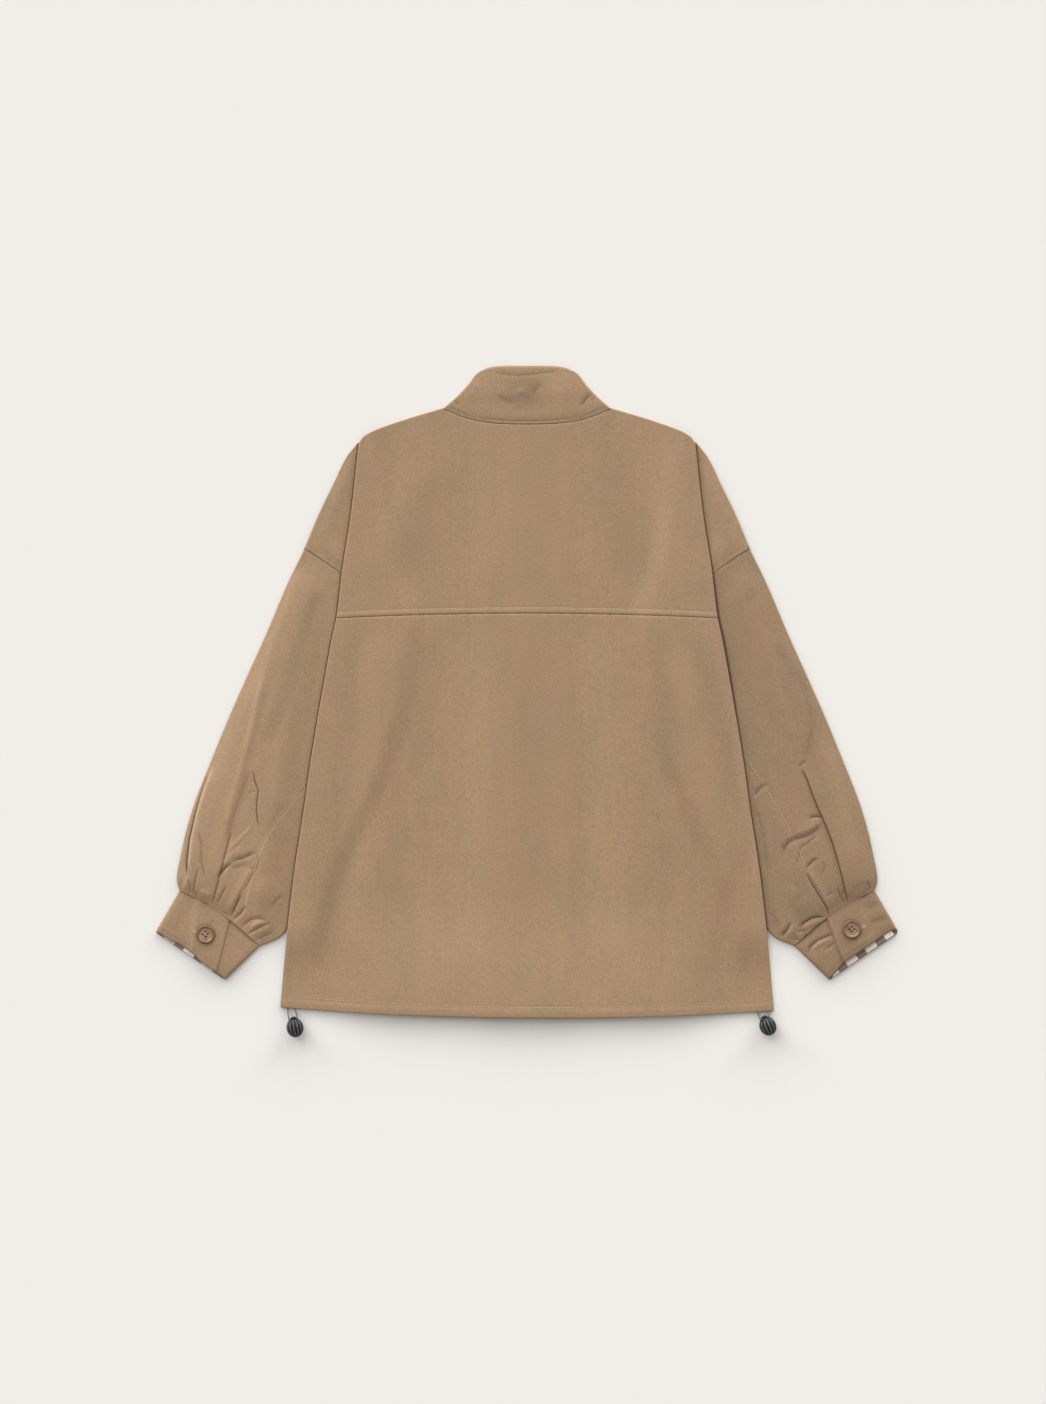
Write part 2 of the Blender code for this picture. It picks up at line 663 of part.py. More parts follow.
def add_cuff(name, end, shell, lining):
    rows = []
    for level in CUFF_LEVELS:
        width = (CUFF_OUTER_TOP.lerp(CUFF_OUTER_END, level)
                 - CUFF_INNER_TOP.lerp(CUFF_INNER_END, level)).length
        upper = cuff_height(level)
        near = (CLOTH / 2 + (upper - ON_FLOOR) / 2) / width
        lap = mix(end.lap_top, end.lap_end, level)
        climbed = lap - CUFF_UNDERLAP - 0.03
        row = []
        for across in [*spread(lap, climbed, 3), *spread(climbed - CUFF_CLIMB, near, 3)]:
            z = upper + LAYER * smooth(climbed - CUFF_CLIMB, climbed, across)
            row.append((cuff_place(level * CUFF_SHORT, across), z))
        steps = turn(CLOTH / 2, upper, ON_FLOOR, -1)
        for i, (across, z) in enumerate(steps, 1):
            short = mix(CUFF_SHORT, 1, i / (len(steps) + 1))
            row.append((cuff_place(level * short, across / width), z))
        for across in spread(near, 1 - near, 5):
            row.append((cuff_place(level, across), ON_FLOOR))
        for i, (across, z) in enumerate(reversed(steps), 1):
            short = mix(1, CUFF_SHORT, i / (len(steps) + 1))
            row.append((cuff_place(level * short, 1 - across / width), z))
        for across in spread(1 - near, lap - CUFF_UNDERLAP, 5):
            row.append((cuff_place(level * CUFF_SHORT, across), upper))
        rows.append([(end.side * place.x, place.y, z) for place, z in row])
    cloth(f"cuff_{name}", rows, shell)

    rows = []
    for level in spread(LINING_TOP, LINING_END, 2):
        row = [cuff_place(level, across) for across in spread(LINING_SIDES, 1 - LINING_SIDES, 8)]
        z = CLOTH + AIR + LINING / 2
        rows.append([(end.side * place.x, place.y, z) for place in row])
    cloth(f"cuff_lining_{name}", rows, lining, LINING)


# Buttons, cords and cord locks

def cylinder(radius, depth, segments):
    mesh = bmesh.new()
    bmesh.ops.create_cone(
        mesh, cap_ends=True, segments=segments, radius1=radius * MM, radius2=radius * MM, depth=depth * MM
    )
    return mesh


def cut(target, cutter_mesh, location, rotation=(0, 0, 0)):
    """Cuts a shape out of an object."""
    data = bpy.data.meshes.new("cutter")
    cutter_mesh.to_mesh(data)
    cutter_mesh.free()
    cutter = bpy.data.objects.new("cutter", data)
    bpy.context.scene.collection.objects.link(cutter)
    cutter.location = Vector(location) * MM
    cutter.rotation_euler = rotation
    cutter.hide_render = True
    cutter.display_type = "WIRE"
    modifier = target.modifiers.new("Cut", "BOOLEAN")
    modifier.operation = "DIFFERENCE"
    modifier.object = cutter


def add_button(name, end, material):
    mesh = cylinder(BUTTON_RADIUS, BUTTON_HEIGHT, 28)
    top = max(mesh.faces, key=lambda face: face.calc_center_median().z)
    bmesh.ops.inset_region(mesh, faces=[top], thickness=BUTTON_RIM * MM, use_even_offset=True)
    bmesh.ops.translate(mesh, verts=top.verts, vec=(0, 0, -BUTTON_DISH * MM))
    button = add_object(f"button_{name}", mesh, material)
    bed = cuff_height(0.5) + LAYER + CLOTH / 2 + AIR
    middle = Vector((end.button_x, end.button_y, bed + BUTTON_HEIGHT / 2))
    button.location = middle * MM
    for x in (-1, 1):
        for y in (-1, 1):
            hole = middle + Vector((x, y, 0)) * BUTTON_HOLE_OUT
            cut(button, cylinder(BUTTON_HOLE, 3 * BUTTON_HEIGHT, 8), hole)


def along_route(route):
    """Points every CORD_STEP along a smooth curve through a route's own points."""
    points = [Vector(point) for point in route]
    fine = []
    for i in range(len(points) - 1):
        before, start = points[max(i - 1, 0)], points[i]
        end, after = points[i + 1], points[min(i + 2, len(points) - 1)]
        for step in range(10):
            t = step / 10
            fine.append(0.5 * (
                2 * start + (end - before) * t
                + (2 * before - 5 * start + 4 * end - after) * t * t
                + (3 * start - before - 3 * end + after) * t ** 3
            ))
    fine.append(points[-1])
    total = sum((b - a).length for a, b in zip(fine, fine[1:]))
    count = round(total / CORD_STEP)
    spaced, walked, index = [fine[0]], 0.0, 0
    for i in range(1, count):
        target = total * i / count
        while walked + (fine[index + 1] - fine[index]).length < target:
            walked += (fine[index + 1] - fine[index]).length
            index += 1
        step = (fine[index + 1] - fine[index]).length
        spaced.append(fine[index].lerp(fine[index + 1], (target - walked) / step))
    return [*spaced, fine[-1]]


def add_cord(name, route, material):
    points = along_route(route)
    curve = bpy.data.curves.new(f"hem_cord_{name}", "CURVE")
    curve.dimensions = "3D"
    spline = curve.splines.new("POLY")
    spline.points.add(len(points) - 1)
    for point, place in zip(spline.points, points):
        point.co = (*(place * MM), 1)
    curve.bevel_depth = CORD_RADIUS * MM
    curve.bevel_resolution = 2
    curve.use_fill_caps = True
    curve.materials.append(material)
    made = bpy.data.objects.new(f"hem_cord_{name}", curve)
    bpy.context.scene.collection.objects.link(made)


def add_lock(name, lock, material):
    """An egg-shaped cord lock with a slot for the cord and a plunger in a bore."""
    centre = Vector((lock.x, lock.y, LOCK_UP))
    tilt = math.radians(lock.tilt)
    axis = Vector((-math.sin(tilt), math.cos(tilt), 0))

    mesh = bmesh.new()
    bmesh.ops.create_uvsphere(mesh, u_segments=18, v_segments=12, radius=MM)
    bmesh.ops.scale(mesh, vec=LOCK_HALF, verts=mesh.verts)
    body = add_object(f"cord_lock_{name}", mesh, material)
    body.data.shade_smooth()
    body.location = centre * MM
    body.rotation_euler = (0, 0, tilt)

    slot = bmesh.new()
    bmesh.ops.create_cube(slot, size=MM)
    bmesh.ops.scale(slot, vec=LOCK_SLOT, verts=slot.verts)
    cut(body, slot, centre + axis * (LOCK_SLOT_END + LOCK_SLOT.y / 2), (0, 0, tilt))
    lying = (math.radians(90), 0, tilt)
    bore_length = 2 * (LOCK_HALF.y - PLUNGER_FROM)
    bore = cylinder(PLUNGER_RADIUS + PLUNGER_PLAY, bore_length, 16)
    cut(body, bore, centre + axis * (PLUNGER_FROM - PLUNGER_PLAY + bore_length / 2), lying)

    length = PLUNGER_TO - PLUNGER_FROM
    plunger = add_object(f"cord_lock_plunger_{name}", cylinder(PLUNGER_RADIUS, length, 16), material)
    plunger.location = (centre + axis * (PLUNGER_FROM + length / 2)) * MM
    plunger.rotation_euler = lying


def main():
    for old in list(bpy.data.objects):
        bpy.data.objects.remove(old)

    shell = finish("shell", (0.39, 0.27, 0.155), 0.7)
    check = finish("cuff_check", (0.48, 0.36, 0.30), 0.8)
    horn = finish("button_horn", (0.27, 0.165, 0.085), 0.35)
    elastic = finish("elastic_cord", (0.13, 0.125, 0.10), 0.75)
    moulded = finish("moulded_black", (0.012, 0.012, 0.014), 0.25)

    cloth("back_yoke", yoke_rows(), shell)
    cloth("back_panel", panel_rows(), shell)
    cloth("front_left", front_rows(lapped=False), shell)
    cloth("front_right", front_rows(lapped=True), shell)
    cloth("collar", collar_rows(), shell)
    for name, end in CUFF_ENDS.items():
        add_sleeve(name, end.side, shell)
        add_cuff(name, end, shell, check)
        add_button(name, end, horn)
        add_cord(name, CORD_ROUTES[name], elastic)
        add_lock(name, LOCKS[name], moulded)


main()
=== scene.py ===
# A hip-length raincoat in thin tan cloth, laid flat on its front and seen from its back.
# X runs across the back, Y from the hem to the collar and Z up. Left is the wearer's left, at -X.
# Sizes are in millimetres until a mesh is made.
import math
import random

import bmesh
import bpy
from mathutils import Matrix, Vector
from mathutils.bvhtree import BVHTree


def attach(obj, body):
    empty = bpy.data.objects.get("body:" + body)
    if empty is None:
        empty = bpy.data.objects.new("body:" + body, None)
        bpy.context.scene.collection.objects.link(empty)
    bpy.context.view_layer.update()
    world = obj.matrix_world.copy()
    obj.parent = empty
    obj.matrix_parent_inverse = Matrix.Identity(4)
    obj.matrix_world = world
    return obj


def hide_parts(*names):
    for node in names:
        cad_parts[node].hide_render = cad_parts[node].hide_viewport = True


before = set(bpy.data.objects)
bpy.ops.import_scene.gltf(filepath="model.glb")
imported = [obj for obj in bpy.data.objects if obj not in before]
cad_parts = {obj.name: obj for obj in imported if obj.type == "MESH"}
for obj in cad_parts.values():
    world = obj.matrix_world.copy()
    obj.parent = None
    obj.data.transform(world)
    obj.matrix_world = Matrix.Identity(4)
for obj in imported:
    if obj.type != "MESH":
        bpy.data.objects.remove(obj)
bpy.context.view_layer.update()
mm = 0.001
flanks = {"Left": -1, "Right": 1}  # which way each flank lies along X

layers = {
    "wall": 1.5,        # thickness of the cloth in the solids
    "shell": 1.3,       # thickness of the cloth here
    "step": 1.85,       # from one layer to the next, wall and air together
    "onFloor": 0.75,    # middle of the lowest layer
    "second": 2.6,      # middle of the layer above it
    "turn": 0.925,      # radius of a fold
    "turnSteps": 6,
    "seamGap": 0.4,     # between two pieces along a hidden seam
    "seamLine": 0.15,   # the gap that shows along a sewn seam
}


# Small measuring functions

def smooth(low, high, value):  # 0 below low, 1 above high, and an even curve between
    share = min(max((value - low) / (high - low), 0.0), 1.0)
    return share * share * (3 - 2 * share)


def hump(value, height, at, width):  # a rise across a line: how high it is, where, and how wide
    return height * math.exp(-((value - at) / width) ** 2)


def mix(first, second, share):
    return first * (1 - share) + second * share


def spread(start, end, count):
    return [mix(start, end, i / count) for i in range(count + 1)]


def stations(start, *runs):  # even stations on to the end of each run, in its number of steps
    full = [start]
    for end, count in runs:
        full += spread(full[-1], end, count)[1:]
    return full


def curve(table, at, column):  # a column of a table on a smooth curve through its rows
    keys = [row[0] for row in table]
    values = [row[column] for row in table]
    if keys[0] > keys[-1]:
        keys.reverse()
        values.reverse()
    last = len(keys) - 1
    at = min(max(at, keys[0]), keys[-1])
    low = 0
    while low < last - 1 and keys[low + 1] <= at:
        low += 1
    before, after = max(low - 1, 0), min(low + 2, last)
    slopeLow = (values[low + 1] - values[before]) / (keys[low + 1] - keys[before])
    slopeHigh = (values[after] - values[low]) / (keys[after] - keys[low])
    span = keys[low + 1] - keys[low]
    t = (at - keys[low]) / span
    return (
        (1 + 2 * t) * (1 - t) ** 2 * values[low] + t * (1 - t) ** 2 * span * slopeLow
        + t * t * (3 - 2 * t) * values[low + 1] - t * t * (1 - t) * span * slopeHigh
    )


ripples = ((1.0, 0.71, 1.7), (0.8, 0.43, 3.1), (0.6, 1.13, 0.7))  # strength, waves, turn with the seed


def ripple(along, seed):  # small uneven waves, as beside a row of stitches, between -1 and 1
    waves = sum(strength * math.sin(along * fast + seed * turn) for strength, fast, turn in ripples)
    return waves / sum(strength for strength, _, _ in ripples)


def addObject(name, data):
    made = bpy.data.objects.new(name, data)
    bpy.context.scene.collection.objects.link(made)
    return made


def addMesh(name, mesh, rounded=True):  # makes a piece of a bmesh
    data = bpy.data.meshes.new(name)
    mesh.to_mesh(data)
    mesh.free()
    if rounded:
        data.shade_smooth()
    return addObject(name, data)


# Creases: each is a path over the cloth, its height (below 0 a trough), how far it spreads to the left and to the
# right of the path, how dark its painted shadow line is, and how much painted shade (below 0 painted light) it lays on
# the cloth

creasing = {
    "reach": 2.6,          # how many of its widths a crease is felt
    "line": 1.8,           # how far its painted shadow line spreads
    "noLine": 6.0,         # a distance at which no line shows
    "fade": (12, 2.4),     # how long its ends fade out, at least in millimetres and in widths
    "fadeMost": 0.4,       # and at most, as a share of its length
    "short": (30, 0.35),   # a path as short as this has this share at each end
    "sideEnd": (15, 3),    # on the back they end between these distances from the side
}


def makeCreases(table):
    made = []
    for path, height, left, right, dark, shade in table:
        width = max(left, right)
        runs = []
        walked = 0.0
        for (ax, ay), (bx, by) in zip(path, path[1:]):
            length = math.dist((ax, ay), (bx, by))
            runs.append((ax, ay, (bx - ax) / length, (by - ay) / length, length, walked))
            walked += length
        xs, ys = zip(*path)
        reach = creasing["reach"] * width
        box = (min(xs) - reach, max(xs) + reach, min(ys) - reach, max(ys) + reach)
        shortest, fade = creasing["short"]
        if walked > shortest:
            least, widths = creasing["fade"]
            fade = min(creasing["fadeMost"], max(least, widths * width) / walked)
        made.append((box, runs, walked, height, left, right, dark, shade, fade))
    return made


def creaseHeight(creases, x, y):  # height, distance from the nearest painted shadow line, its strength, painted shade
    height = shade = strength = 0.0
    line = creasing["noLine"]
    for (left, right, low, high), runs, total, tall, leftWidth, rightWidth, dark, soft, fade in creases:
        if not (left < x < right and low < y < high):
            continue
        nearest = None
        for ax, ay, ux, uy, length, walked in runs:
            rx, ry = x - ax, y - ay
            along = min(max(rx * ux + ry * uy, 0.0), length)
            dx, dy = rx - ux * along, ry - uy * along
            away = dx * dx + dy * dy
            if nearest is None or away < nearest[0]:
                nearest = (away, (walked + along) / total, ux * ry - uy * rx)
        away, share, turned = nearest
        width = leftWidth if turned > 0 else rightWidth
        ends = smooth(0, fade, share) * (1 - smooth(1 - fade, 1, share))
        amount = math.exp(-away / width ** 2) * ends
        height += tall * amount
        shade += soft * amount
        # the strength of the painted shadow line along the crease
        near = dark * ends * math.exp(-away / creasing["line"] ** 2)
        if near > strength:
            strength, line = near, math.copysign(math.sqrt(away), turned)
    return height, line, strength, shade


# Outlines shared by the pieces, the same as in the solids

body = {
    "neckHalf": 101.0, "neckSideY": 340.8, "neckBackY": 321.1, "neckFrontY": 262.0,
    "yokeSeamY": 94.3, "yokeSeamDrop": 5.8,
    "hemY": -391.2, "hemRise": 11.0, "hemTilt": -0.007, "hemHalf": 296.0, "hemChannel": 13.4,
    "frontLap": (-22.0, 2, 26.0, 40.0),  # its edge, a point on it, where it starts down, and its foot
    "backLap": (42.0, 72.0),             # where the back starts down beside the lap below, and its foot
    "sideRise": 30.0, "sideDrop": 14.0,
    "neckColumns": 36,  # of the back's grids, from the middle to the collar's end
}

# The side of the back: y, where it turns under, how far in the turned cloth lies flat, from where
# the back rests on it, and how much of the sleeve's height lies below it
sides = [
    (299, 202.0, 194, 190, 1), (212, 211.6, 187, 180, 1), (150, 221.3, 179, 168, 1),
    (91, 228.5, 170, 150, 1), (64, 234.2, 168, 150, 1), (-10, 247.5, 178, 161, 1),
    (-85, 260.0, 200, 183, 1), (-142, 268.0, 225, 208, 1), (-206, 278.0, 255, 238, 1),
    (-262, 285.0, 274, 256, 1), (-292, 288.2, 279, 262, 1), (-335, 292.4, 282, 266, 0),
    (-382, 296.4, 284, 268, 0),
]
sideColumns = {"fold": 1, "under": 2, "plateau": 3, "lift": 4}
shoulderLine = [(101, 340.8), (147, 327.0), (181, 314.8), (195, 307.0), (203, 299.0)]

# Yoke rows: y of the side fold and the end of the drop shoulder, down the outline, then the armhole
yokeRows = [
    (299.0, 203.0, 299.0), (281.0, 217.0, 281.0), (255.0, 231.6, 251.0), (228.0, 250.0, 213.0),
    (200.0, 267.5, 171.0), (172.0, 245.0, 157.0), (144.0, 222.0, 140.0), (116.0, 196.0, 114.0),
    (88.5, 174.0, 89.0),
]


def side(y, column):
    return curve(sides, y, sideColumns[column])


def neckBackY(x):
    return body["neckBackY"] + (body["neckSideY"] - body["neckBackY"]) * (abs(x) / body["neckHalf"]) ** 3


def neckFrontY(x):
    return body["neckFrontY"] + (body["neckSideY"] - body["neckFrontY"]) * (abs(x) / body["neckHalf"]) ** 2.2


def shoulderY(x):
    return curve(shoulderLine, abs(x), 1)


def yokeSeamY(x):
    return body["yokeSeamY"] - body["yokeSeamDrop"] * (x / side(body["yokeSeamY"], "fold")) ** 2


def levelHemY(x):
    return body["hemY"] + body["hemRise"] * (x / body["hemHalf"]) ** 2


def tiltedHem(x, y, share):  # the hem lies a little askew, and less so towards the yoke
    return y + body["hemTilt"] * x * share ** 4


def hemY(x):
    return tiltedHem(x, levelHemY(x), 1)


def frontLapStep(x, lapped):  # the outer front lies a layer higher where it laps the inner one
    _, _, flat, foot = body["frontLap"]
    return layers["step"] * (1 - smooth(flat, foot, x)) if lapped else 0


def backLapStep(x):
    return layers["step"] * (1 - smooth(*body["backLap"], abs(x)))


def turnPoints(x, upper, lower, outward):  # a fold from an upper layer down to a lower one
    radius = (upper - lower) / 2
    steps = layers["turnSteps"]
    turns = [math.pi * i / steps for i in range(1, steps)]
    return [(x - outward * radius * (1 - math.sin(turn)), upper - radius * (1 - math.cos(turn))) for turn in turns]


def bothHalves(half):
    return [(-x, y, z) for x, y, z in reversed(half[1:])] + half


# Cloth: a grid laid through rows of points, with its creases pressed in, then given its thickness

clothPieces = {}


def flatCut(rows):
    grid = [[Vector(point) for point in row] for row in rows]
    width = max(sum((b - a).length for a, b in zip(row, row[1:])) for row in grid)
    deep = max(sum((b - a).length for a, b in zip(column, column[1:])) for column in zip(*grid))
    area = 0.0
    for above, below in zip(grid, grid[1:]):
        for a, b, c, d in zip(above, above[1:], below[1:], below):
            area += (c - a).cross(d - b).length / 2
    return width, deep, min(area, width * deep)


def layCloth(name, rows, creases=(), topColumns=None, freedom=None, thickness=None, marks=None):
    columns, levels = len(rows[0]) - 1, len(rows) - 1
    mesh = bmesh.new()
    bmesh.ops.create_grid(mesh, x_segments=columns, y_segments=levels, size=0.5)
    # foldLine and its strength place a painted shadow line along creases; shade holds painted shade and painted light
    line, depth, shading = (mesh.verts.layers.float.new(key) for key in ("foldLine", "creaseShadowStrength", "shade"))
    first, last = topColumns or (0, -1)
    for vert in mesh.verts:
        column = round((vert.co.x + 0.5) * columns)
        level = round((vert.co.y + 0.5) * levels)
        x, y, z = rows[level][column]
        mark = marks(x, y, level, column) if marks else None
        if mark is None and first <= column <= last:
            height, nearLine, strength, shade = creaseHeight(creases, x, y)
            free = freedom(x, y) if freedom else 1.0
            z += height * free
            mark = (nearLine, strength * free, shade * free)
        vert[line], vert[depth], vert[shading] = mark or (creasing["noLine"], 0.0, 0.0)
        vert.co = (x * mm, y * mm, z * mm)
    piece = addMesh(name, mesh)
    wall = piece.modifiers.new("Wall", "SOLIDIFY")
    wall.thickness = (thickness or layers["shell"]) * mm
    wall.offset = 0
    clothPieces[name] = piece
    flatCut(rows)


# painted shadow line and painted shade along the back's side fold
contactShadow = {
    "inward": 7, "outward": 9, "line": 1.15, "lineAt": 0.4,
    "wider": (2.0, 55, 80),  # how much wider the line is on the right, at which height, over how much
    "shade": (0.2, 0, 4),
}


def contactShadowMark(x, y):  # a painted shadow line, with painted shade, where the back's side lies on the cloth below it
    away = abs(x) - side(y, "fold")
    if away > contactShadow["outward"] or away < -contactShadow["inward"]:
        return None
    wide = contactShadow["line"] + (hump(y, *contactShadow["wider"]) if x > 0 else 0.0)
    return (away - contactShadow["lineAt"]) / wide, 1.0, hump(max(away, 0), *contactShadow["shade"])


# Camera first: straight above, long lens, framed as the photograph

view = {"lens": 85.0, "distance": 3.98, "x": -4.8, "y": -12.0, "sensor": 36.0, "clipEnd": 20}
camera = addObject("camera", bpy.data.cameras.new("camera"))
camera.data.lens = view["lens"]
camera.data.sensor_width = view["sensor"]
camera.data.sensor_fit = "VERTICAL"
camera.data.sensor_height = view["sensor"]
camera.location = (view["x"] * mm, view["y"] * mm, view["distance"])
camera.data.clip_end = view["clipEnd"]
bpy.context.scene.camera = camera
print("camera set")


# Hem cords, each a loop from the hem channel through its lock and back

cordLoops = {
    "radius": 0.85, "spacing": 1.2,
    "Left": [
        (-287.3, -380.0, 1.7), (-287.0, -383.0, 3.6), (-286.3, -387.0, 7.2), (-285.5, -390.4, 9.3),
        (-284.6, -393.4, 9.6), (-283.4, -398.0, 9.6), (-282.5, -401.9, 9.6), (-280.6, -404.8, 9.6),
        (-277.1, -405.5, 9.6), (-274.2, -403.6, 9.6), (-273.5, -400.2, 9.6), (-274.1, -396.2, 9.6),
        (-274.9, -391.8, 9.6), (-275.8, -388.4, 8.6), (-277.0, -384.8, 5.2), (-278.2, -382.2, 2.8),
        (-278.9, -380.5, 1.7),
    ],
    "Right": [
        (277.0, -384.4, 1.7), (277.4, -386.6, 3.8), (278.2, -389.0, 6.8), (279.1, -391.2, 9.1),
        (280.1, -393.2, 9.6), (282.2, -397.3, 9.6), (283.9, -401.0, 9.6), (286.4, -403.4, 9.6),
        (289.9, -403.4, 9.6), (292.4, -400.9, 9.6), (292.4, -397.4, 9.6), (290.9, -393.6, 9.6),
        (289.4, -389.8, 9.6), (289.2, -387.9, 8.2), (289.3, -386.3, 5.8), (289.5, -384.9, 3.5),
        (289.8, -383.7, 1.7),
    ],
}


def alongRoute(route, spacing):  # points at even steps on a smooth curve through the route
    points = [Vector(point) for point in route]
    fine = []
    for i in range(len(points) - 1):
        before, start = points[max(i - 1, 0)], points[i]
        end, after = points[i + 1], points[min(i + 2, len(points) - 1)]
        for t in spread(0, 0.9, 9):
            fine.append(0.5 * (
                2 * start + (end - before) * t + (2 * before - 5 * start + 4 * end - after) * t * t
                + (3 * start - before - 3 * end + after) * t ** 3
            ))
    fine.append(points[-1])
    total = sum((b - a).length for a, b in zip(fine, fine[1:]))
    count = round(total / spacing)
    spaced, walked, index = [fine[0]], 0.0, 0
    for i in range(1, count):
        while walked + (fine[index + 1] - fine[index]).length < total * i / count:
            walked += (fine[index + 1] - fine[index]).length
            index += 1
        step = (fine[index + 1] - fine[index]).length
        spaced.append(fine[index].lerp(fine[index + 1], (total * i / count - walked) / step))
    return [*spaced, fine[-1]], total


hemCords = {}
for flank in flanks:
    points, length = alongRoute(cordLoops[flank], cordLoops["spacing"])
    line = bpy.data.curves.new(f"hemCord{flank}", "CURVE")
    line.dimensions = "3D"
    spline = line.splines.new("POLY")
    spline.points.add(len(points) - 1)
    for point, place in zip(spline.points, points):
        point.co = (*(place * mm), 1)
    line.bevel_depth = cordLoops["radius"] * mm
    line.bevel_resolution = 4
    line.use_fill_caps = True
    hemCords[flank] = (addObject(f"hemCord{flank}", line), length)
print("hem cords laid", [round(length, 1) for _, length in hemCords.values()])


# The back: yoke and panel

def backHeight(x, y):  # middle of the visible cloth above the surface
    plateau = side(y, "plateau")
    climb = 2 * layers["step"] * side(y, "lift") * smooth(plateau - body["sideRise"], plateau, abs(x))
    return layers["second"] + backLapStep(x) + climb


def acrossBack(y, outside):  # stations from the middle out to where the side starts to turn
    flat = side(y, "fold") - layers["wall"] / 2 - layers["turn"]
    return stations(0, (body["neckHalf"], body["neckColumns"]), (flat, outside))


def backHalf(places, heightAt, edgeY, sidePath):
    fold = side(edgeY, "fold") - layers["wall"] / 2
    points = [(x, y, heightAt(x, y)) for x, y in places]
    upper = points[-1][2]
    points += [(x, edgeY, z) for x, z in turnPoints(fold, upper, upper - layers["step"], 1)]
    return points + sidePath(fold - layers["turn"], edgeY, upper - layers["step"])


seamRise = {"roll": (0.28, 3.2, 2.4), "stitched": (-0.16, 6.8, 1.2), "waves": (0.09, 0, 8)}


def seamSwell(distance, along, seed):  # cloth between a seam and its row of stitches
    waves = ripple(along, seed) * hump(distance, *seamRise["waves"])
    return hump(distance, *seamRise["roll"]) + hump(distance, *seamRise["stitched"]) + waves


def backFreedom(x, y):  # creases end a little before the side
    start, end = (side(y, "fold") - away for away in creasing["sideEnd"])
    return 1 - smooth(start, end, abs(x))


def layBack(name, rows, piece, besideSleeve=False):  # only the upper side is creased
    middle, reach = len(rows[0]) // 2, body["neckColumns"] + piece["outside"]

    def sideMark(x, y, level, column):  # the drop shoulder comes out from under the fold at the side, with a painted shadow line there
        return contactShadowMark(x, y) if abs(column - middle) >= reach + layers["turnSteps"] else None

    layCloth(
        name, rows, makeCreases(piece["creases"]), (middle - reach, middle + reach), backFreedom,
        marks=sideMark if besideSleeve else None,
    )


yoke = {
    "outside": 38,  # columns from the collar's end to the side
    "levels": [(290, 6), (200, 26), (102, 28), (88.5, 11)],  # down the side: where each run ends, its steps
    "lowerRoll": (0.16, 0, 0.8), "collarRoll": (0.1, 0, 1.6),
    "under": 6, "drop": 22,  # columns below the back, and out over the drop shoulder
    "sink": 0.4, "soft": 1.1, "softRise": (0.35, 0.7), "softFall": (0.7, 1), "softEnd": (240, 299),
    "creases": [
        ([(-90, 276), (-119, 206), (-155, 110)], -0.54, 20, 26, 0, 0.09),
        ([(-128, 290), (-157, 206), (-186, 122)], 0.48, 18, 18, 0, -0.08),
        ([(-32, 302), (-37, 206), (-49, 110)], 0.36, 26, 26, 0, -0.06),
        ([(88, 295), (114, 230), (126, 110)], -0.42, 22, 22, 0, 0.07),
        ([(52, 302), (64, 206), (61, 110)], 0.3, 20, 20, 0, -0.05),
        ([(148, 302), (169, 206), (184, 110)], 0.42, 18, 18, 0, -0.07),
        ([(-206, 290), (-212, 230), (-217, 158)], -0.36, 10, 10, 0, 0.06),
        ([(208, 278), (215, 218), (222, 146)], -0.42, 10, 10, 0, 0.07),
    ],
}


def dropShoulderEnd(y):
    rows = yokeRows[:5] if y >= yokeRows[4][0] else yokeRows[4:]
    return curve(rows, y, 1), curve(rows, y, 2)


def dropShoulder(start, y, z):  # from the fold back below the body, then out to the armhole or the shoulder
    under = side(y, "under")
    flat = under + layers["turn"]
    endX, endY = dropShoulderEnd(y)
    points = [(mix(start, flat, share), y, z) for share in spread(0, 1, yoke["under"])]
    points += [(x, y, height) for x, height in turnPoints(under, z, z - layers["step"], -1)]
    for share in spread(0, 1, yoke["drop"]):
        low = mix(z - layers["step"], layers["second"], smooth(0, yoke["sink"], share))
        soft = yoke["soft"] * smooth(*yoke["softRise"], share) * (1 - smooth(*yoke["softFall"], share))
        points.append((mix(flat, endX, share), mix(y, endY, share), low + soft * (1 - smooth(*yoke["softEnd"], y))))
    return points


def yokeGrid():
    first, last = yokeRows[0][0], yokeRows[-1][0]
    upperEdge = [
        (shoulderY(x) if x > body["neckHalf"] else neckBackY(x)) - layers["seamLine"]
        for x in acrossBack(first, yoke["outside"])
    ]
    upperEdge[-1] = first
    lowerEdge = [yokeSeamY(x) for x in acrossBack(last, yoke["outside"])]

    def heightAt(x, y):
        below = y - yokeSeamY(x)
        height = backHeight(x, y) + seamSwell(below, x, 1) - hump(below, *yoke["lowerRoll"])
        if abs(x) < body["neckHalf"]:
            height -= hump(neckBackY(x) - y, *yoke["collarRoll"])
        return height

    rows = []
    for edgeY in stations(first, *yoke["levels"]):
        share = (first - edgeY) / (first - last)
        places = [
            (x, mix(high, low, share))
            for x, high, low in zip(acrossBack(edgeY, yoke["outside"]), upperEdge, lowerEdge)
        ]
        rows.append(bothHalves(backHalf(places, heightAt, edgeY, dropShoulder)))
    return rows


layBack("backYokeCloth", yokeGrid(), yoke, besideSleeve=True)
print("yoke laid")


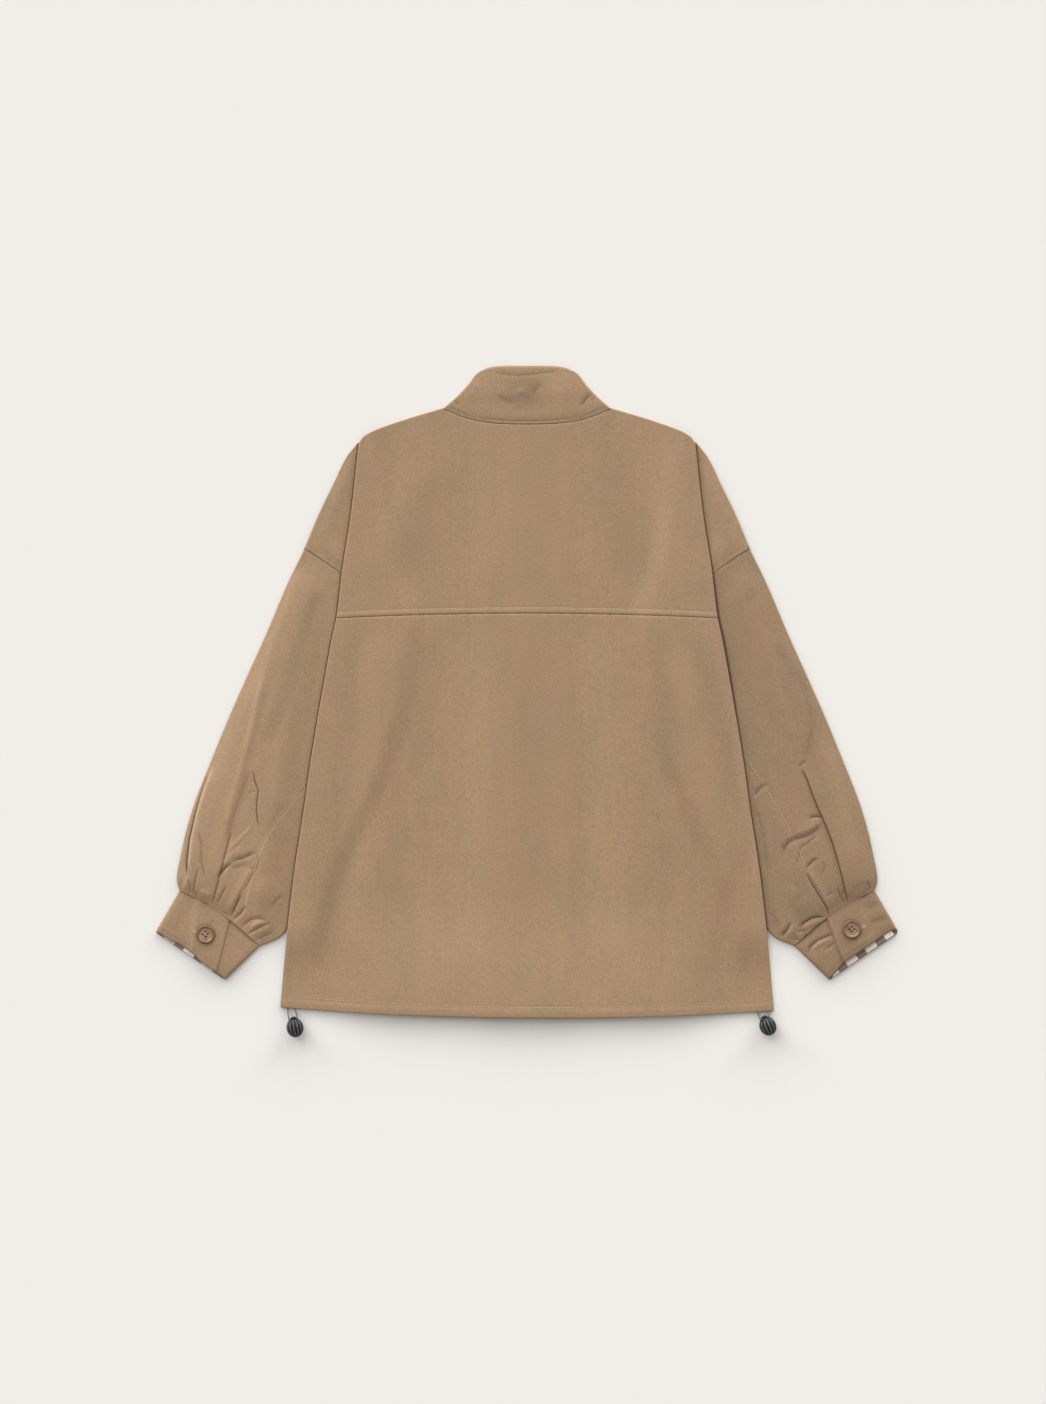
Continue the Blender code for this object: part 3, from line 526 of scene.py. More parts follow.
panel = {
    "outside": 66,
    "levels": [(12, 9), (-24, 100), (-3, 13), (0, 4)],  # down from the seam, or if not above 0, from the hem
    "channel": (0.22, 7.5, 4.2), "channelStitched": (0.16, body["hemChannel"], 1.2),
    "hemCurl": (0.9, 0, 1.2), "seamCurl": (0.3, 0, 1.4),
    "hemWaves": (0.10, 13, 9), "seamWaves": (0.08, 0, 9),
    "loft": 5.8, "loftDeep": 150.0, "loftEnd": (150, 268),  # the hem stands open a little between its corners
    "under": 6, "drop": 8,  # columns below the back, and down to the side seam on the floor
    "creases": [
        ([(-210, 74), (-220, -82), (-242, -358)], -0.4, 16, 16, 0, 0.08),
        ([(-179, 77), (-191, -118), (-210, -322)], 0.4, 18, 18, 0, -0.08),
        ([(-109, 84), (-116, -10), (-133, -118)], -0.2, 11, 14, 0, 0.06),
        ([(-143, -82), (-170, -226), (-210, -370)], -0.15, 20, 16, 0, 0.05),
        ([(-54, 86), (-64, -130), (-78, -358)], 0.4, 24, 24, 0, -0.08),
        ([(4, 62), (8, -130), (1, -322)], -0.25, 20, 20, 0, 0.05),
        ([(83, 86), (95, -130), (102, -352)], 0.4, 22, 22, 0, -0.08),
        ([(150, 82), (164, -10), (174, -130)], -0.4, 12, 12, 0, 0.08),
        ([(169, -166), (164, -274), (148, -370)], -0.3, 16, 16, 0, 0.06),
        ([(200, 74), (229, -34), (265, -166)], -0.45, 13, 16, 0, 0.09),
        ([(184, 62), (208, -82), (241, -250)], 0.4, 14, 14, 0, -0.08),
        ([(258, -175), (234, -274), (210, -370)], -0.4, 16, 14, 0, 0.08),
        # no crease: a wide painted shade, darker towards the right
        ([(205, 90), (228, -120), (245, -420)], 0, 60, 60, 0, 0.07),
        ([(-128, -202), (-116, -298), (-124, -376)], 0.25, 16, 16, 0, -0.05),
    ],
}


def panelSideY(share):
    return mix(yokeSeamY(side(body["yokeSeamY"], "fold")) - layers["seamLine"], body["hemY"] + body["hemRise"], share)


def panelSide(start, y, z):  # back below the panel, then down to the side seam
    under = side(y, "under")
    points = [(mix(start, under, share), y, z) for share in spread(0, 1, panel["under"])]
    for share in spread(0, 1, panel["drop"])[1:]:
        points.append((under - body["sideDrop"] * share, y, mix(z, layers["onFloor"], smooth(0, 1, share))))
    return points


def panelGrid():
    deep = body["yokeSeamY"] - body["hemY"]

    def heightAt(x, y):
        seam, hem = yokeSeamY(x) - y, y - hemY(x)
        channel = hump(hem, *panel["channel"]) - hump(hem, *panel["channelStitched"])
        curl = hump(hem, *panel["hemCurl"]) + hump(seam, *panel["seamCurl"])
        waves = ripple(x * 0.8, 5) * hump(hem, *panel["hemWaves"]) + ripple(x, 2) * hump(seam, *panel["seamWaves"])
        loft = panel["loft"] * (1 - smooth(0, panel["loftDeep"], hem)) * (1 - smooth(*panel["loftEnd"], abs(x)))
        return backHeight(x, y) + channel + waves + loft - curl

    rows = []
    for down in stations(0, *((end if end > 0 else deep + end, steps) for end, steps in panel["levels"])):
        share = down / deep
        edgeY = panelSideY(share)
        places = [
            (x, mix(yokeSeamY(x) - layers["seamLine"], levelHemY(x), share))
            for x in acrossBack(edgeY, panel["outside"])
        ]
        half = backHalf(places, heightAt, edgeY, panelSide)
        rows.append([(x, tiltedHem(x, y, share), z) for x, y, z in bothHalves(half)])
    return rows


layBack("backPanelCloth", panelGrid(), panel)
print("panel laid")


# The two fronts, flat on the surface below the back

fronts = {
    # from the neck to the armpit: y at the middle, x and y at the side, share of the neck's curve
    "rows": [
        (262, 203.0, 299.0, 1.0), (235, 217.0, 281.0, 0.6), (205, 231.6, 251.0, 0.3), (175, 250.0, 213.0, 0.1),
        (145, 267.5, 171.0, 0.0), (122, 245.0, 157.0, 0.0), (106, 222.0, 140.0, 0.0), (94, 196.0, 114.0, 0.0),
        (87, 174.0, 91.0, 0.0),
    ],
    "lowerY": 84, "lowerRows": 40,  # y at the middle, level with the armpit
    "columns": 4, "across": [0.123, 0.247, 0.374, 0.58, 0.8, 1],  # stations from the lap to the side
    "neckGap": 0.8, "armpitRise": 0.8,
    "free": (45, 75),  # creases start beside the lap
    "creases": [  # hollows on the side that lies on the surface
        ([(-150, 40), (-120, -90), (-135, -230)], 0.35, 14, 20, 0, 0.12),
        ([(-215, 60), (-190, -60), (-200, -160)], 0.30, 12, 12, 0.2, 0.10),
        ([(-90, -180), (-80, -280), (-95, -360)], 0.30, 16, 14, 0, 0.10),
        ([(-170, 220), (-140, 140), (-112, 70)], 0.30, 12, 16, 0, 0.10),
        ([(160, 60), (135, -70), (150, -200)], 0.35, 20, 14, 0, 0.12),
        ([(222, 40), (242, -80), (236, -200)], 0.30, 12, 12, 0.2, 0.10),
        ([(112, -200), (92, -300), (104, -380)], 0.30, 14, 16, 0, 0.10),
        ([(110, 240), (144, 150), (192, 96)], 0.30, 12, 16, 0, 0.10),
    ],
}


def acrossFront(sideX, steps):
    lap = body["frontLap"]
    ends = [*lap, *(mix(lap[-1], sideX, share) for share in fronts["across"])]
    return stations(ends[0], *((end, steps) for end in ends[1:]))


def frontShare(x, sideX):  # how far x lies from the lap's edge to the side
    edge = body["frontLap"][0]
    return (x - edge) / (sideX - edge)


def frontEdges(flank):  # level by level: y at the middle, x and y at the side, share of the neck's curve
    edges = []
    for above, below in zip(fronts["rows"], fronts["rows"][1:]):
        edges += [above, [mix(a, b, 0.5) for a, b in zip(above, below)]]
    edges.append(fronts["rows"][-1])
    for share in spread(0, 1, fronts["lowerRows"]):
        y = panelSideY(share)
        x = side(y, "under") - body["sideDrop"] - layers["seamGap"]
        rise = fronts["armpitRise"] if share == 0 else 0
        edges.append((mix(fronts["lowerY"], body["hemY"], share), x, tiltedHem(flank * x, y, share) + rise, 0))
    return edges


def frontGrid(flank, lapped):
    firstY, firstX, firstSideY, _ = fronts["rows"][0]
    bows = []
    for x in acrossFront(firstX, fronts["columns"]):
        atNeck = x < body["neckHalf"] - 1
        edge = neckFrontY(x) - fronts["neckGap"] if atNeck else shoulderY(x) - layers["seamGap"]
        bows.append(edge - mix(firstY, firstSideY, frontShare(x, firstX)))
    edges = frontEdges(flank)
    rows = []
    for edge in edges:
        middleY, sideX, sideY, neck = edge
        row = []
        for x, bow in zip(acrossFront(sideX, fronts["columns"]), bows):
            y = mix(middleY, sideY, frontShare(x, sideX)) + bow * neck
            if edge is edges[-1]:
                y = hemY(flank * x)
            row.append((flank * x, y, layers["onFloor"] + frontLapStep(x, lapped)))
        rows.append(row)
    return rows


for name, flank, lapped in (("frontLeftCloth", -1, False), ("frontRightCloth", 1, True)):
    layCloth(
        name, frontGrid(flank, lapped), makeCreases(fronts["creases"]), (0, math.inf),
        lambda x, y: smooth(*fronts["free"], abs(x)),
    )
print("fronts laid")


# The collar, one flattened band lapped at the middle of the front

collar = {
    "rows": [(0.0, 101), (0.33, 84), (0.66, 70), (0.9, 62), (1.0, 56)],  # height share, half width
    "levels": [(0.12, 7), (0.94, 30), (1, 5)],
    "topY": 391.2, "cornerY": 385.0, "frontTopY": 332.0,
    "back": 3.4, "baseHalf": 98.9,  # the band's back above the surface, half of its base up to the turn
    "columns": 40, "frontColumns": 10,
    "lapEnd": (0.45, 0.9),  # the step of the lap below fades out up the band
    "swell": (0.15, 2.2, 1.4), "stitched": (0.25, 3.7, 0.8), "crown": 0.5, "crownDeep": (14, 12),
    "topRoll": (0.7, 0, 1.4), "baseRoll": (0.75, 0, 4.2),
    "swellEnd": (0.86, 1), "baseEnd": (0.97, 1),  # stations where these end before the side
    "creases": [
        ([(-42, 384), (-26.5, 381), (-13, 380), (9.5, 381.5), (25, 383.5), (39.5, 385)], -0.4, 1.8, 2.2, 0.4, 0.12),
        ([(-37, 357.5), (-29, 350.5), (-20.5, 347), (-13, 345.5)], -0.6, 4, 3.5, 0.08, 0.2),
        ([(19, 371), (12, 363.5), (5, 355)], -0.55, 3.8, 4.2, 0.08, 0.22),
        ([(0, 386.5), (-1, 360), (1, 331)], -0.5, 22, 34, 0, 0.36),
        ([(-8.5, 365), (-6, 355)], 0.6, 5, 5, 0, -0.12),
        ([(79, 360), (71, 351.5), (62, 341)], -0.7, 2.4, 3, 0.7, 0.3),
        ([(83, 355), (74.5, 348)], -0.4, 1.8, 1.8, 0.25, 0.1),
        ([(-90, 354), (-85, 348), (-80.5, 343)], -0.6, 2, 2, 0.35, 0.15),
        ([(-59, 377), (-63.5, 360), (-68.5, 345.5)], 0.5, 8, 8, 0, -0.05),
    ],
}


def collarHeight(share, station, up, down):  # the band's back above its flat place, without its lap
    swell = hump(up, *collar["swell"]) - hump(up, *collar["stitched"])
    topDeep, baseDeep = collar["crownDeep"]
    crown = collar["crown"] * smooth(0, topDeep, down) * smooth(0, baseDeep, up) - hump(down, *collar["topRoll"])
    base = hump(up, *collar["baseRoll"]) * (1 - smooth(*collar["baseEnd"], station))
    return (swell + crown) * (1 - smooth(*collar["swellEnd"], station)) - base


def collarHalf(share, lapped):
    edge = curve(collar["rows"], share, 1) - layers["wall"] / 2
    flat = edge - (collar["back"] - layers["onFloor"]) / 2
    points = []
    for station in spread(0, 1, collar["columns"]):
        x = station * flat
        top = mix(collar["topY"], collar["cornerY"], station ** 6)
        baseY = neckBackY(station * collar["baseHalf"])
        y = mix(baseY, top, share)
        height = collar["back"] + backLapStep(x) * (1 - smooth(*collar["lapEnd"], share))
        points.append((x, y, height + collarHeight(share, station, y - baseY, (1 - share) * (top - baseY))))
    cornerY = points[-1][1]
    points += [(x, cornerY, z) for x, z in turnPoints(edge, collar["back"], layers["onFloor"], 1)]
    lap = body["frontLap"]
    for x in stations(flat, (lap[-1], collar["frontColumns"]), *((end, 4) for end in reversed(lap[:-1]))):
        station = min(abs(x) / flat, 1)
        top = mix(collar["frontTopY"], collar["cornerY"], station ** 2)
        y = mix(neckFrontY(station * body["neckHalf"]), top, share)
        points.append((x, y, layers["onFloor"] + frontLapStep(x, lapped)))
    return points


rows = []
for share in stations(0, *collar["levels"]):
    left = [(-x, y, z) for x, y, z in collarHalf(share, False)]
    rows.append(list(reversed(left[1:])) + collarHalf(share, True))
middle = len(rows[0]) // 2
creased = collar["columns"] - 1
layCloth("collarCloth", rows, makeCreases(collar["creases"]), (middle - creased, middle + creased))
print("collar laid")


# The sleeves, each a top part and an under part

# share down the sleeve, outer edge x and y, inner edge x and y, back seam as a share of the width
# on the left and on the right, how high the sleeve puffs up
sleeveSections = [
    (0.000, 267.5, 171.0, 174.0, 89.0, 0.84, 0.84, 2.0), (0.100, 288.0, 129.0, 175.0, 56.0, 0.84, 0.83, 3.4),
    (0.220, 313.0, 70.0, 177.0, 22.0, 0.83, 0.80, 4.2), (0.340, 337.0, 17.0, 184.0, -20.0, 0.82, 0.76, 4.8),
    (0.460, 359.0, -33.0, 196.0, -62.0, 0.80, 0.71, 5.4), (0.580, 379.0, -82.0, 213.0, -104.0, 0.75, 0.65, 6.2),
    (0.700, 398.0, -130.0, 234.0, -150.0, 0.66, 0.60, 7.2), (0.800, 409.5, -168.0, 253.0, -190.0, 0.60, 0.58, 8.0),
    (0.880, 416.5, -200.0, 269.0, -228.0, 0.60, 0.56, 8.6), (0.930, 420.0, -218.0, 280.0, -262.0, 0.60, 0.54, 8.2),
    (0.965, 420.0, -228.0, 293.0, -291.0, 0.62, 0.55, 6.4), (1.000, 417.0, -238.0, 321.5, -305.5, 0.64, 0.57, 1.6),
]
sleeve = {
    "levels": [(0.03, 9), (0.45, 60), (0.95, 170), (1, 22)],
    "columns": {"Top": 132, "Under": 70}, "hiddenColumns": 14,
    "hidden": 0.3,                    # the highest crease on the side that lies on the surface
    "hiddenMarks": (0.5, 0.6),        # how strong its painted shadow lines and its painted shade are
    "lowest": -0.3,                   # the deepest crease below the flat cloth
    "frontSeam": 0.5, "seamHalf": 0.03,  # share of the width, half of the gap between the two parts
    "seamDip": (-0.12, 1.1),          # how the cloth sinks to the back seam: depth and width
    "armholeDip": (-0.08, 0, 0.005),
    "armholeBend": 0.2,               # share of the sleeve over which the armhole's curve fades out
    "armholeLap": 0.5, "armholeLapEnd": 0.05,
    "puffSides": (34, 18, (3, 40)),   # how far in from the outer fold, the inner fold and the body it is full
    "creaseSides": (6, 8, (1, 12)), "hiddenSides": 8,
    "start": 0.10,                    # share of the sleeve over which puff and creases come in
    "cuffBow": 6.0, "cuffBowFrom": 0.9, "cuffGapFrom": 0.97,
    "cuffPaintedLight": {"Left": (0.34, 1, 0.035), "Right": (0.5, 1, 0.035)},  # painted light in a band above the cuff, against the shade of the sleeve's fall
    "seamPaintedLight": {"Left": 0.35, "Right": 0.1}, "seamPaintedLightWidth": 1.3,   # and painted light along the back seam
}
cuffCorners = {
    "outerTop": Vector((417.0, -238.0)), "outerEnd": Vector((446.0, -288.5)),
    "innerEnd": Vector((362.6, -345.7)), "innerTop": Vector((321.5, -305.5)),
}
sleeveCreases = {
    "Left": [
        ([(-375.5, -86.5), (-386.5, -116.5), (-395, -144), (-402, -175), (-404.5, -201.5),
          (-405.5, -217)], 1.3, 10, 1.7, 0, 0),
        ([(-376, -89), (-386.5, -116.5), (-395, -144), (-402, -175), (-404.5, -201.5),
          (-405, -216)], 0, 1.8, 1.2, 0, -0.55),
        ([(-381.5, -96), (-390.5, -120), (-398, -147.5), (-404.5, -177.5), (-407.5, -204),
          (-407.5, -221)], -1, 1.8, 4, 1.5, 0.35),
        ([(-315.5, 24), (-329, -39.5), (-341, -87.5), (-353, -129.5), (-362.5, -165.5), (-369.5, -201.5),
          (-375.5, -237.5)], 0.9, 6, 12, 0, 0),
        ([(-272.5, 151), (-288, 105.5), (-305, 62.5), (-315.5, 24), (-325, -24), (-337, -75.5)], 0.5, 5, 5, 0, -0.1),
        ([(-317, 21.5), (-325, -14.5), (-335, -57.5), (-343, -91), (-353, -125),
          (-362.5, -161)], 0.3, 2.6, 3, 0, -0.16),
        ([(-246, 125), (-264, 80.5), (-276, 41), (-283, 2.5), (-295, -31), (-313, -69.5)], -0.6, 8, 8, 0, 0.12),
        ([(-287, 62.5), (-301, 2.5), (-318, -45.5)], 0.3, 5, 5, 0, -0.05),
        ([(-331, -91), (-344.5, -129.5), (-354, -156), (-360, -185)], -0.7, 8, 3, 0.12, 0.22),
        ([(-354, -165.5), (-361, -193), (-367, -216), (-372.5, -237.5), (-377.5, -255.5)], -0.9, 3, 1.6, 0.8, 0.1),
        ([(-327.5, -158.5), (-341, -173), (-351.5, -183.5), (-360, -193)], 0.4, 2, 2, 0, -0.2),
        ([(-328, -92.5), (-326, -107), (-322, -119), (-323.5, -132), (-324, -144), (-322.5, -155),
          (-320.5, -164.5)], -0.9, 1.7, 1.7, 1, 0.1),
        ([(-323, -117.5), (-329, -119.5), (-336, -125)], -0.3, 2, 2, 0.3, 0),
        ([(-393.5, -164.5), (-390, -183.5), (-389.5, -204), (-384.5, -227)], -0.7, 2, 3.5, 0.42, 0.1),
        ([(-373, -226), (-367, -218), (-360, -209.5), (-351.5, -203)], -1.3, 2.6, 1.8, 1.1, 0.5),
        ([(-356.5, -205), (-347, -200.5), (-338.5, -198.5), (-331, -194.5),
          (-323, -189.5)], -0.8, 3.2, 2.6, 0.5, 0.45),
        ([(-357.5, -211), (-348, -210), (-339.5, -206.5), (-331, -211)], -0.4, 3, 3, 0.12, 0.3),
        ([(-371, -215), (-361, -200.5), (-349, -191), (-335, -183.5)], 0.4, 2.6, 6, 0, -0.06),
        ([(-325, -192), (-321.5, -201.5), (-323, -210), (-329, -220), (-335, -231),
          (-342, -242.5)], -0.4, 1.6, 1.6, 0.55, 0),
        ([(-341, -239.5), (-345.5, -248.5), (-350.5, -259), (-356, -271)], -1, 2.6, 1.6, 1, 0.35),
        ([(-329, -209), (-342, -233), (-349, -245), (-360, -266.5)], 0.7, 2.2, 5, 0, -0.08),
        ([(-333.5, -209), (-329, -212), (-323, -207)], -0.3, 1.6, 1.6, 0.35, 0),
        ([(-404.5, -218.5), (-409, -230.5), (-413, -240)], 0.7, 2, 2, 0, -0.25),
        ([(-413.5, -222), (-416, -236.5)], -0.5, 1.6, 1.6, 0.4, 0),
        ([(-408, -222), (-403, -233), (-404.5, -245)], -0.7, 1.6, 1.6, 0.45, 0.1),
        ([(-392.5, -209), (-396.5, -223), (-401, -246)], -0.9, 1.8, 2.2, 0.6, 0.15),
        ([(-401, -235), (-396, -241), (-398.5, -247)], -0.4, 1.4, 1.4, 0.4, 0),
        ([(-402.5, -245), (-393.5, -251), (-385, -254), (-378, -255.5)], -1.2, 2, 2, 0.9, 0.2),
        ([(-392.5, -236.5), (-385, -242.5), (-378, -245)], 0.9, 4, 4, 0, -0.1),
        ([(-359, -230.5), (-365.5, -243.5), (-372, -257)], -0.8, 1.8, 2.2, 0.45, 0.1),
        ([(-367, -263.5), (-360, -265), (-354.5, -270.5)], -0.5, 1.5, 1.5, 0.5, 0),
        ([(-333.5, -254), (-343, -264.5), (-353, -274)], -0.8, 1.8, 1.8, 0.5, 0.1),
        ([(-338.5, -263), (-345.5, -268), (-354, -273.5)], -0.4, 1.5, 1.5, 0.3, 0),
        ([(-309.5, -275), (-321.5, -271), (-331, -273), (-338.5, -278.5), (-344.5, -286)], -0.9, 1.8, 2.4, 0.5, 0.1),
        ([(-303.5, -277), (-315.5, -279.5), (-325, -284.5), (-332.5, -289),
          (-336.5, -294.5)], -0.9, 1.8, 1.8, 0.6, 0.1),
        ([(-313, -275), (-325, -278.5), (-335, -285.5)], 0.9, 2.4, 2.4, 0, -0.15),
        ([(-302.5, -287), (-318, -294), (-329, -300.5)], -0.5, 2, 2, 0.3, 0),
        ([(-291.5, -242.5), (-300, -249.5), (-307, -259)], -0.7, 2.2, 2.2, 0.35, 0.1),
        ([(-318, -221), (-311, -240), (-301, -261.5)], 1, 13, 13, 0, 0),
        ([(-290.5, -129.5), (-306, -165.5), (-313, -189.5)], -0.5, 8, 8, 0, 0.12),
    ],
    "Right": [
        ([(330, -90), (337, -105.5), (344.5, -125), (351.5, -143), (356.5, -153), (362.5, -167), (368.5, -183.5),
          (374, -203), (378.5, -221), (386.5, -253)], 1.5, 17, 1.5, 0, 0),
        ([(328, -90), (336, -106), (343, -125.5), (350.5, -143.5), (355, -153.5), (361, -167.5), (367, -184),
          (372.5, -203.5), (377.5, -221.5), (385, -254.5)], -0.8, 1.3, 4, 1.05, 0.2),
        ([(297.5, 57.5), (313, 30), (331, 5), (342, -20.5), (344.5, -47), (339.5, -72),
          (331, -89)], -0.5, 7, 7, 0, 0.12),
        ([(335, -9.5), (343, -43), (335, -79)], -0.3, 3, 3, 0, 0.1),
        ([(263, 137), (266.5, 115), (266.5, 93.5)], -0.4, 7, 7, 0, 0.12),
        ([(272.5, 115), (289, 53), (307, -12), (315.5, -57.5)], 0.4, 6, 6, 0, -0.07),
        ([(359, -55), (366, -93.5), (378, -137), (390, -185), (395, -216)], 0.7, 9, 12, 0, -0.13),
        ([(324, -91), (329, -86.5), (336, -81.5)], -0.6, 2, 2.2, 0.5, 0.2),
        ([(356.5, -150.5), (348, -149.5), (341, -150), (335, -153)], -1, 1.8, 2.2, 0.75, 0.2),
        ([(353.5, -157), (348, -164.5), (339.5, -170.5), (331, -174), (321.5, -176), (314.5, -179), (309, -186),
          (306.5, -198)], -1, 3.2, 3.2, 0.3, 0.45),
        ([(350.5, -168), (342, -176), (333.5, -183), (323, -189.5)], -0.6, 1.8, 1.8, 0.5, 0.1),
        ([(354, -152), (343, -161), (332.5, -166), (319, -170)], 0.4, 2.2, 5, 0, -0.06),
        ([(320, -188.5), (326.5, -195), (323, -201.5), (327, -210)], -0.4, 1.5, 1.5, 0.4, 0),
        ([(329, -187), (324, -193)], -0.3, 1.4, 1.4, 0.3, 0),
        ([(350.5, -198), (343, -201.5), (337, -207.5), (332.5, -214)], -1, 2.2, 1.8, 0.8, 0.2),
        ([(353, -201.5), (356.5, -211), (351.5, -222)], -0.5, 2.4, 2.4, 0.12, 0.15),
        ([(332.5, -213.5), (338.5, -224.5), (345.5, -236.5), (353, -248.5), (359.5, -259),
          (363, -271)], -0.7, 1.6, 2.2, 1, 0.15),
        ([(337, -211), (343, -223), (350.5, -235), (357.5, -247), (365, -261.5)], 0.5, 5, 2.2, 0, -0.06),
        ([(291.5, -109), (282, -114), (273.5, -122.5), (269, -131)], -0.9, 2.6, 3, 0.3, 0.3),
        ([(270, -137), (275, -165.5), (279.5, -192), (285.5, -221)], -1.1, 7, 6, 0, 0.5),
        ([(315.5, -229), (326.5, -234), (336, -227)], -0.3, 4.5, 4.5, 0, 0.1),
        ([(335, -233), (327.5, -245), (324, -257)], -0.4, 4.5, 4.5, 0, 0.08),
        ([(360, -270), (350.5, -269), (341, -270.5), (332.5, -276), (324, -284)], -1.3, 2.2, 2, 1.15, 0.35),
        ([(356.5, -276), (345.5, -276), (335, -281), (327.5, -287)], 0.6, 2.4, 2.4, 0, -0.12),
        ([(317.5, -274), (312.5, -284.5), (307, -291.5), (299, -296)], -1.3, 1.8, 3, 1.1, 0.3),
        ([(321.5, -275), (317, -287), (309.5, -297.5)], 0.6, 3, 2.2, 0, -0.12),
        ([(320.5, -288.5), (330, -285.5), (338.5, -287.5)], -0.5, 1.6, 1.6, 0.5, 0.1),
        ([(338.5, -285.5), (345.5, -281.5), (354, -275)], -0.5, 1.5, 1.5, 0.4, 0),
        ([(329, -293), (335, -290.5), (332, -296.5), (324.5, -303)], -0.7, 1.6, 1.6, 0.65, 0.15),
        ([(317, -297.5), (323, -296), (327.5, -297.5)], -0.5, 1.5, 1.5, 0.5, 0),
        ([(366, -237), (373, -237.5), (375, -245), (378, -249.5), (384.5, -254.5)], -0.9, 1.8, 1.8, 0.65, 0.15),
        ([(382, -233), (378.5, -239), (376, -246)], -0.6, 1.6, 1.6, 0.55, 0.1),
        ([(357.5, -246), (362.5, -242), (367, -239.5)], -0.5, 1.8, 1.8, 0.25, 0.1),
        ([(402, -232), (408.5, -228), (411, -235), (408, -241)], -0.6, 1.6, 1.6, 0.5, 0.1),
        ([(391, -246), (399.5, -240), (407, -234)], 0.6, 3, 3, 0, -0.1),
        ([(291.5, -257), (296.5, -276), (299, -293)], -0.6, 6, 6, 0, 0.22),
        ([(285.5, -291), (293, -290.5), (300, -296)], -0.4, 1.6, 1.6, 0.45, 0),
        ([(315.5, -225.5), (324, -249.5), (337, -266.5)], 0.8, 10, 10, 0, 0),
    ],
}
sleeveLevels = stations(0, *sleeve["levels"])
cuffUp = (cuffCorners["innerTop"] - cuffCorners["outerTop"]).orthogonal().normalized()
if cuffUp.y < 0:
    cuffUp.negate()


def armhole(share):
    place = share * 4
    low = min(int(place), 3)
    first, second = Vector(yokeRows[4 + low][1:]), Vector(yokeRows[5 + low][1:])
    return first.lerp(second, place - low)


intoYoke = Vector((-0.3, 0.95))  # across the armhole, from the sleeve into the yoke


def sleeveLine(level):  # what stays the same along one level of a sleeve
    outer = Vector((curve(sleeveSections, level, 1), curve(sleeveSections, level, 2)))
    inner = Vector((curve(sleeveSections, level, 3), curve(sleeveSections, level, 4)))
    return {
        "level": level, "outer": outer, "run": (inner - outer).normalized(), "width": (inner - outer).length,
        "Left": curve(sleeveSections, level, 5), "Right": curve(sleeveSections, level, 6),
        "puff": curve(sleeveSections, level, 7),
    }


def sleevePlace(line, across):
    share = min(max(across / line["width"], 0.0), 1.0)
    level = line["level"]
    place = line["outer"] + line["run"] * across
    bend = max(1 - level / sleeve["armholeBend"], 0.0) ** 2
    place += (armhole(share) - armhole(0).lerp(armhole(1), share)) * bend
    place += cuffUp * (4 * share * (1 - share) * sleeve["cuffBow"] * smooth(sleeve["cuffBowFrom"], 1, level))
    place += intoYoke * (sleeve["armholeLap"] * (1 - smooth(0, sleeve["armholeLapEnd"], level)))
    return place + cuffUp * (layers["seamLine"] * smooth(sleeve["cuffGapFrom"], 1, level))


def sleeveFreedom(line, across, place):  # how far the sleeve may puff up, and how far it may crease
    near = across - layers["turn"]
    far = line["width"] - across - layers["turn"]
    clear = place.x - side(place.y, "fold")
    start = smooth(0, sleeve["start"], line["level"])
    outer, inner, fromBody = sleeve["puffSides"]
    puff = math.sqrt(max(1 - (1 - smooth(0, outer, near)) ** 2, 0)) * smooth(0, inner, far)
    creaseOuter, creaseInner, creaseBody = sleeve["creaseSides"]
    free = smooth(0, creaseOuter, near) * smooth(0, creaseInner, far) * smooth(*creaseBody, clear)
    return puff * smooth(*fromBody, clear) * start, free * start


def sleeveGrid(flank, part):  # rows from the armhole to the cuff: back seam, fold, then front seam below
    direction, inward = flanks[flank], 1 if part == "Top" else -1
    creases = makeCreases(sleeveCreases[flank])
    edge = layers["wall"] / 2
    rows, marks = [], []
    for level in sleeveLevels:
        line = sleeveLine(level)
        width = line["width"]
        seam, gap = line[flank] * width, inward * sleeve["seamHalf"]
        fold = edge + layers["turn"] if part == "Top" else width - edge - layers["turn"]
        row, mark = [], []

        def pointAt(across):
            place = sleevePlace(line, across)
            return place, direction * place.x, place.y

        for across in spread(seam - gap, fold, sleeve["columns"][part]):
            place, x, y = pointAt(across)
            puff, free = sleeveFreedom(line, across, place)
            height, dark, strength, shade = creaseHeight(creases, x, y)
            # painted light in a band above the cuff and along the back seam
            shade -= hump(level, *sleeve["cuffPaintedLight"][flank])
            shade -= hump(across, sleeve["seamPaintedLight"][flank], seam, sleeve["seamPaintedLightWidth"])
            dipDeep, dipWide = sleeve["seamDip"]
            dip = hump(across, dipDeep, seam, dipWide) + hump(level, *sleeve["armholeDip"])
            z = layers["second"] + max(line["puff"] * puff + height * free, sleeve["lowest"]) + dip
            row.append((x, y, z))
            mark.append(contactShadowMark(x, y) or (dark, strength * free, shade * free))
        turnEdge = edge if part == "Top" else width - edge
        for across, z in turnPoints(turnEdge, layers["second"], layers["onFloor"], -inward):
            row.append((*pointAt(across)[1:], z))
            mark.append(None)
        sides, (lineShare, shadeShare) = sleeve["hiddenSides"], sleeve["hiddenMarks"]
        for across in spread(fold, sleeve["frontSeam"] * width - gap, sleeve["hiddenColumns"])[1:]:
            _, x, y = pointAt(across)  # the hidden side has similar creases, only hollow
            height, dark, strength, shade = creaseHeight(creases, x, y)
            free = smooth(0, sides, across) * smooth(0, sides, width - across) * smooth(0, sleeve["start"], level)
            row.append((x, y, layers["onFloor"] + sleeve["hidden"] * min(max(height, 0), 1) * free))
            mark.append((dark, strength * lineShare * free, shade * shadeShare * free))
        rows.append(row)
        marks.append(mark)
    return rows, marks


for flank in flanks:
    for part in ("Top", "Under"):
        rows, marks = sleeveGrid(flank, part)
        layCloth(f"sleeve{part}{flank}", rows, marks=lambda x, y, level, column: marks[level][column])
print("sleeves laid")


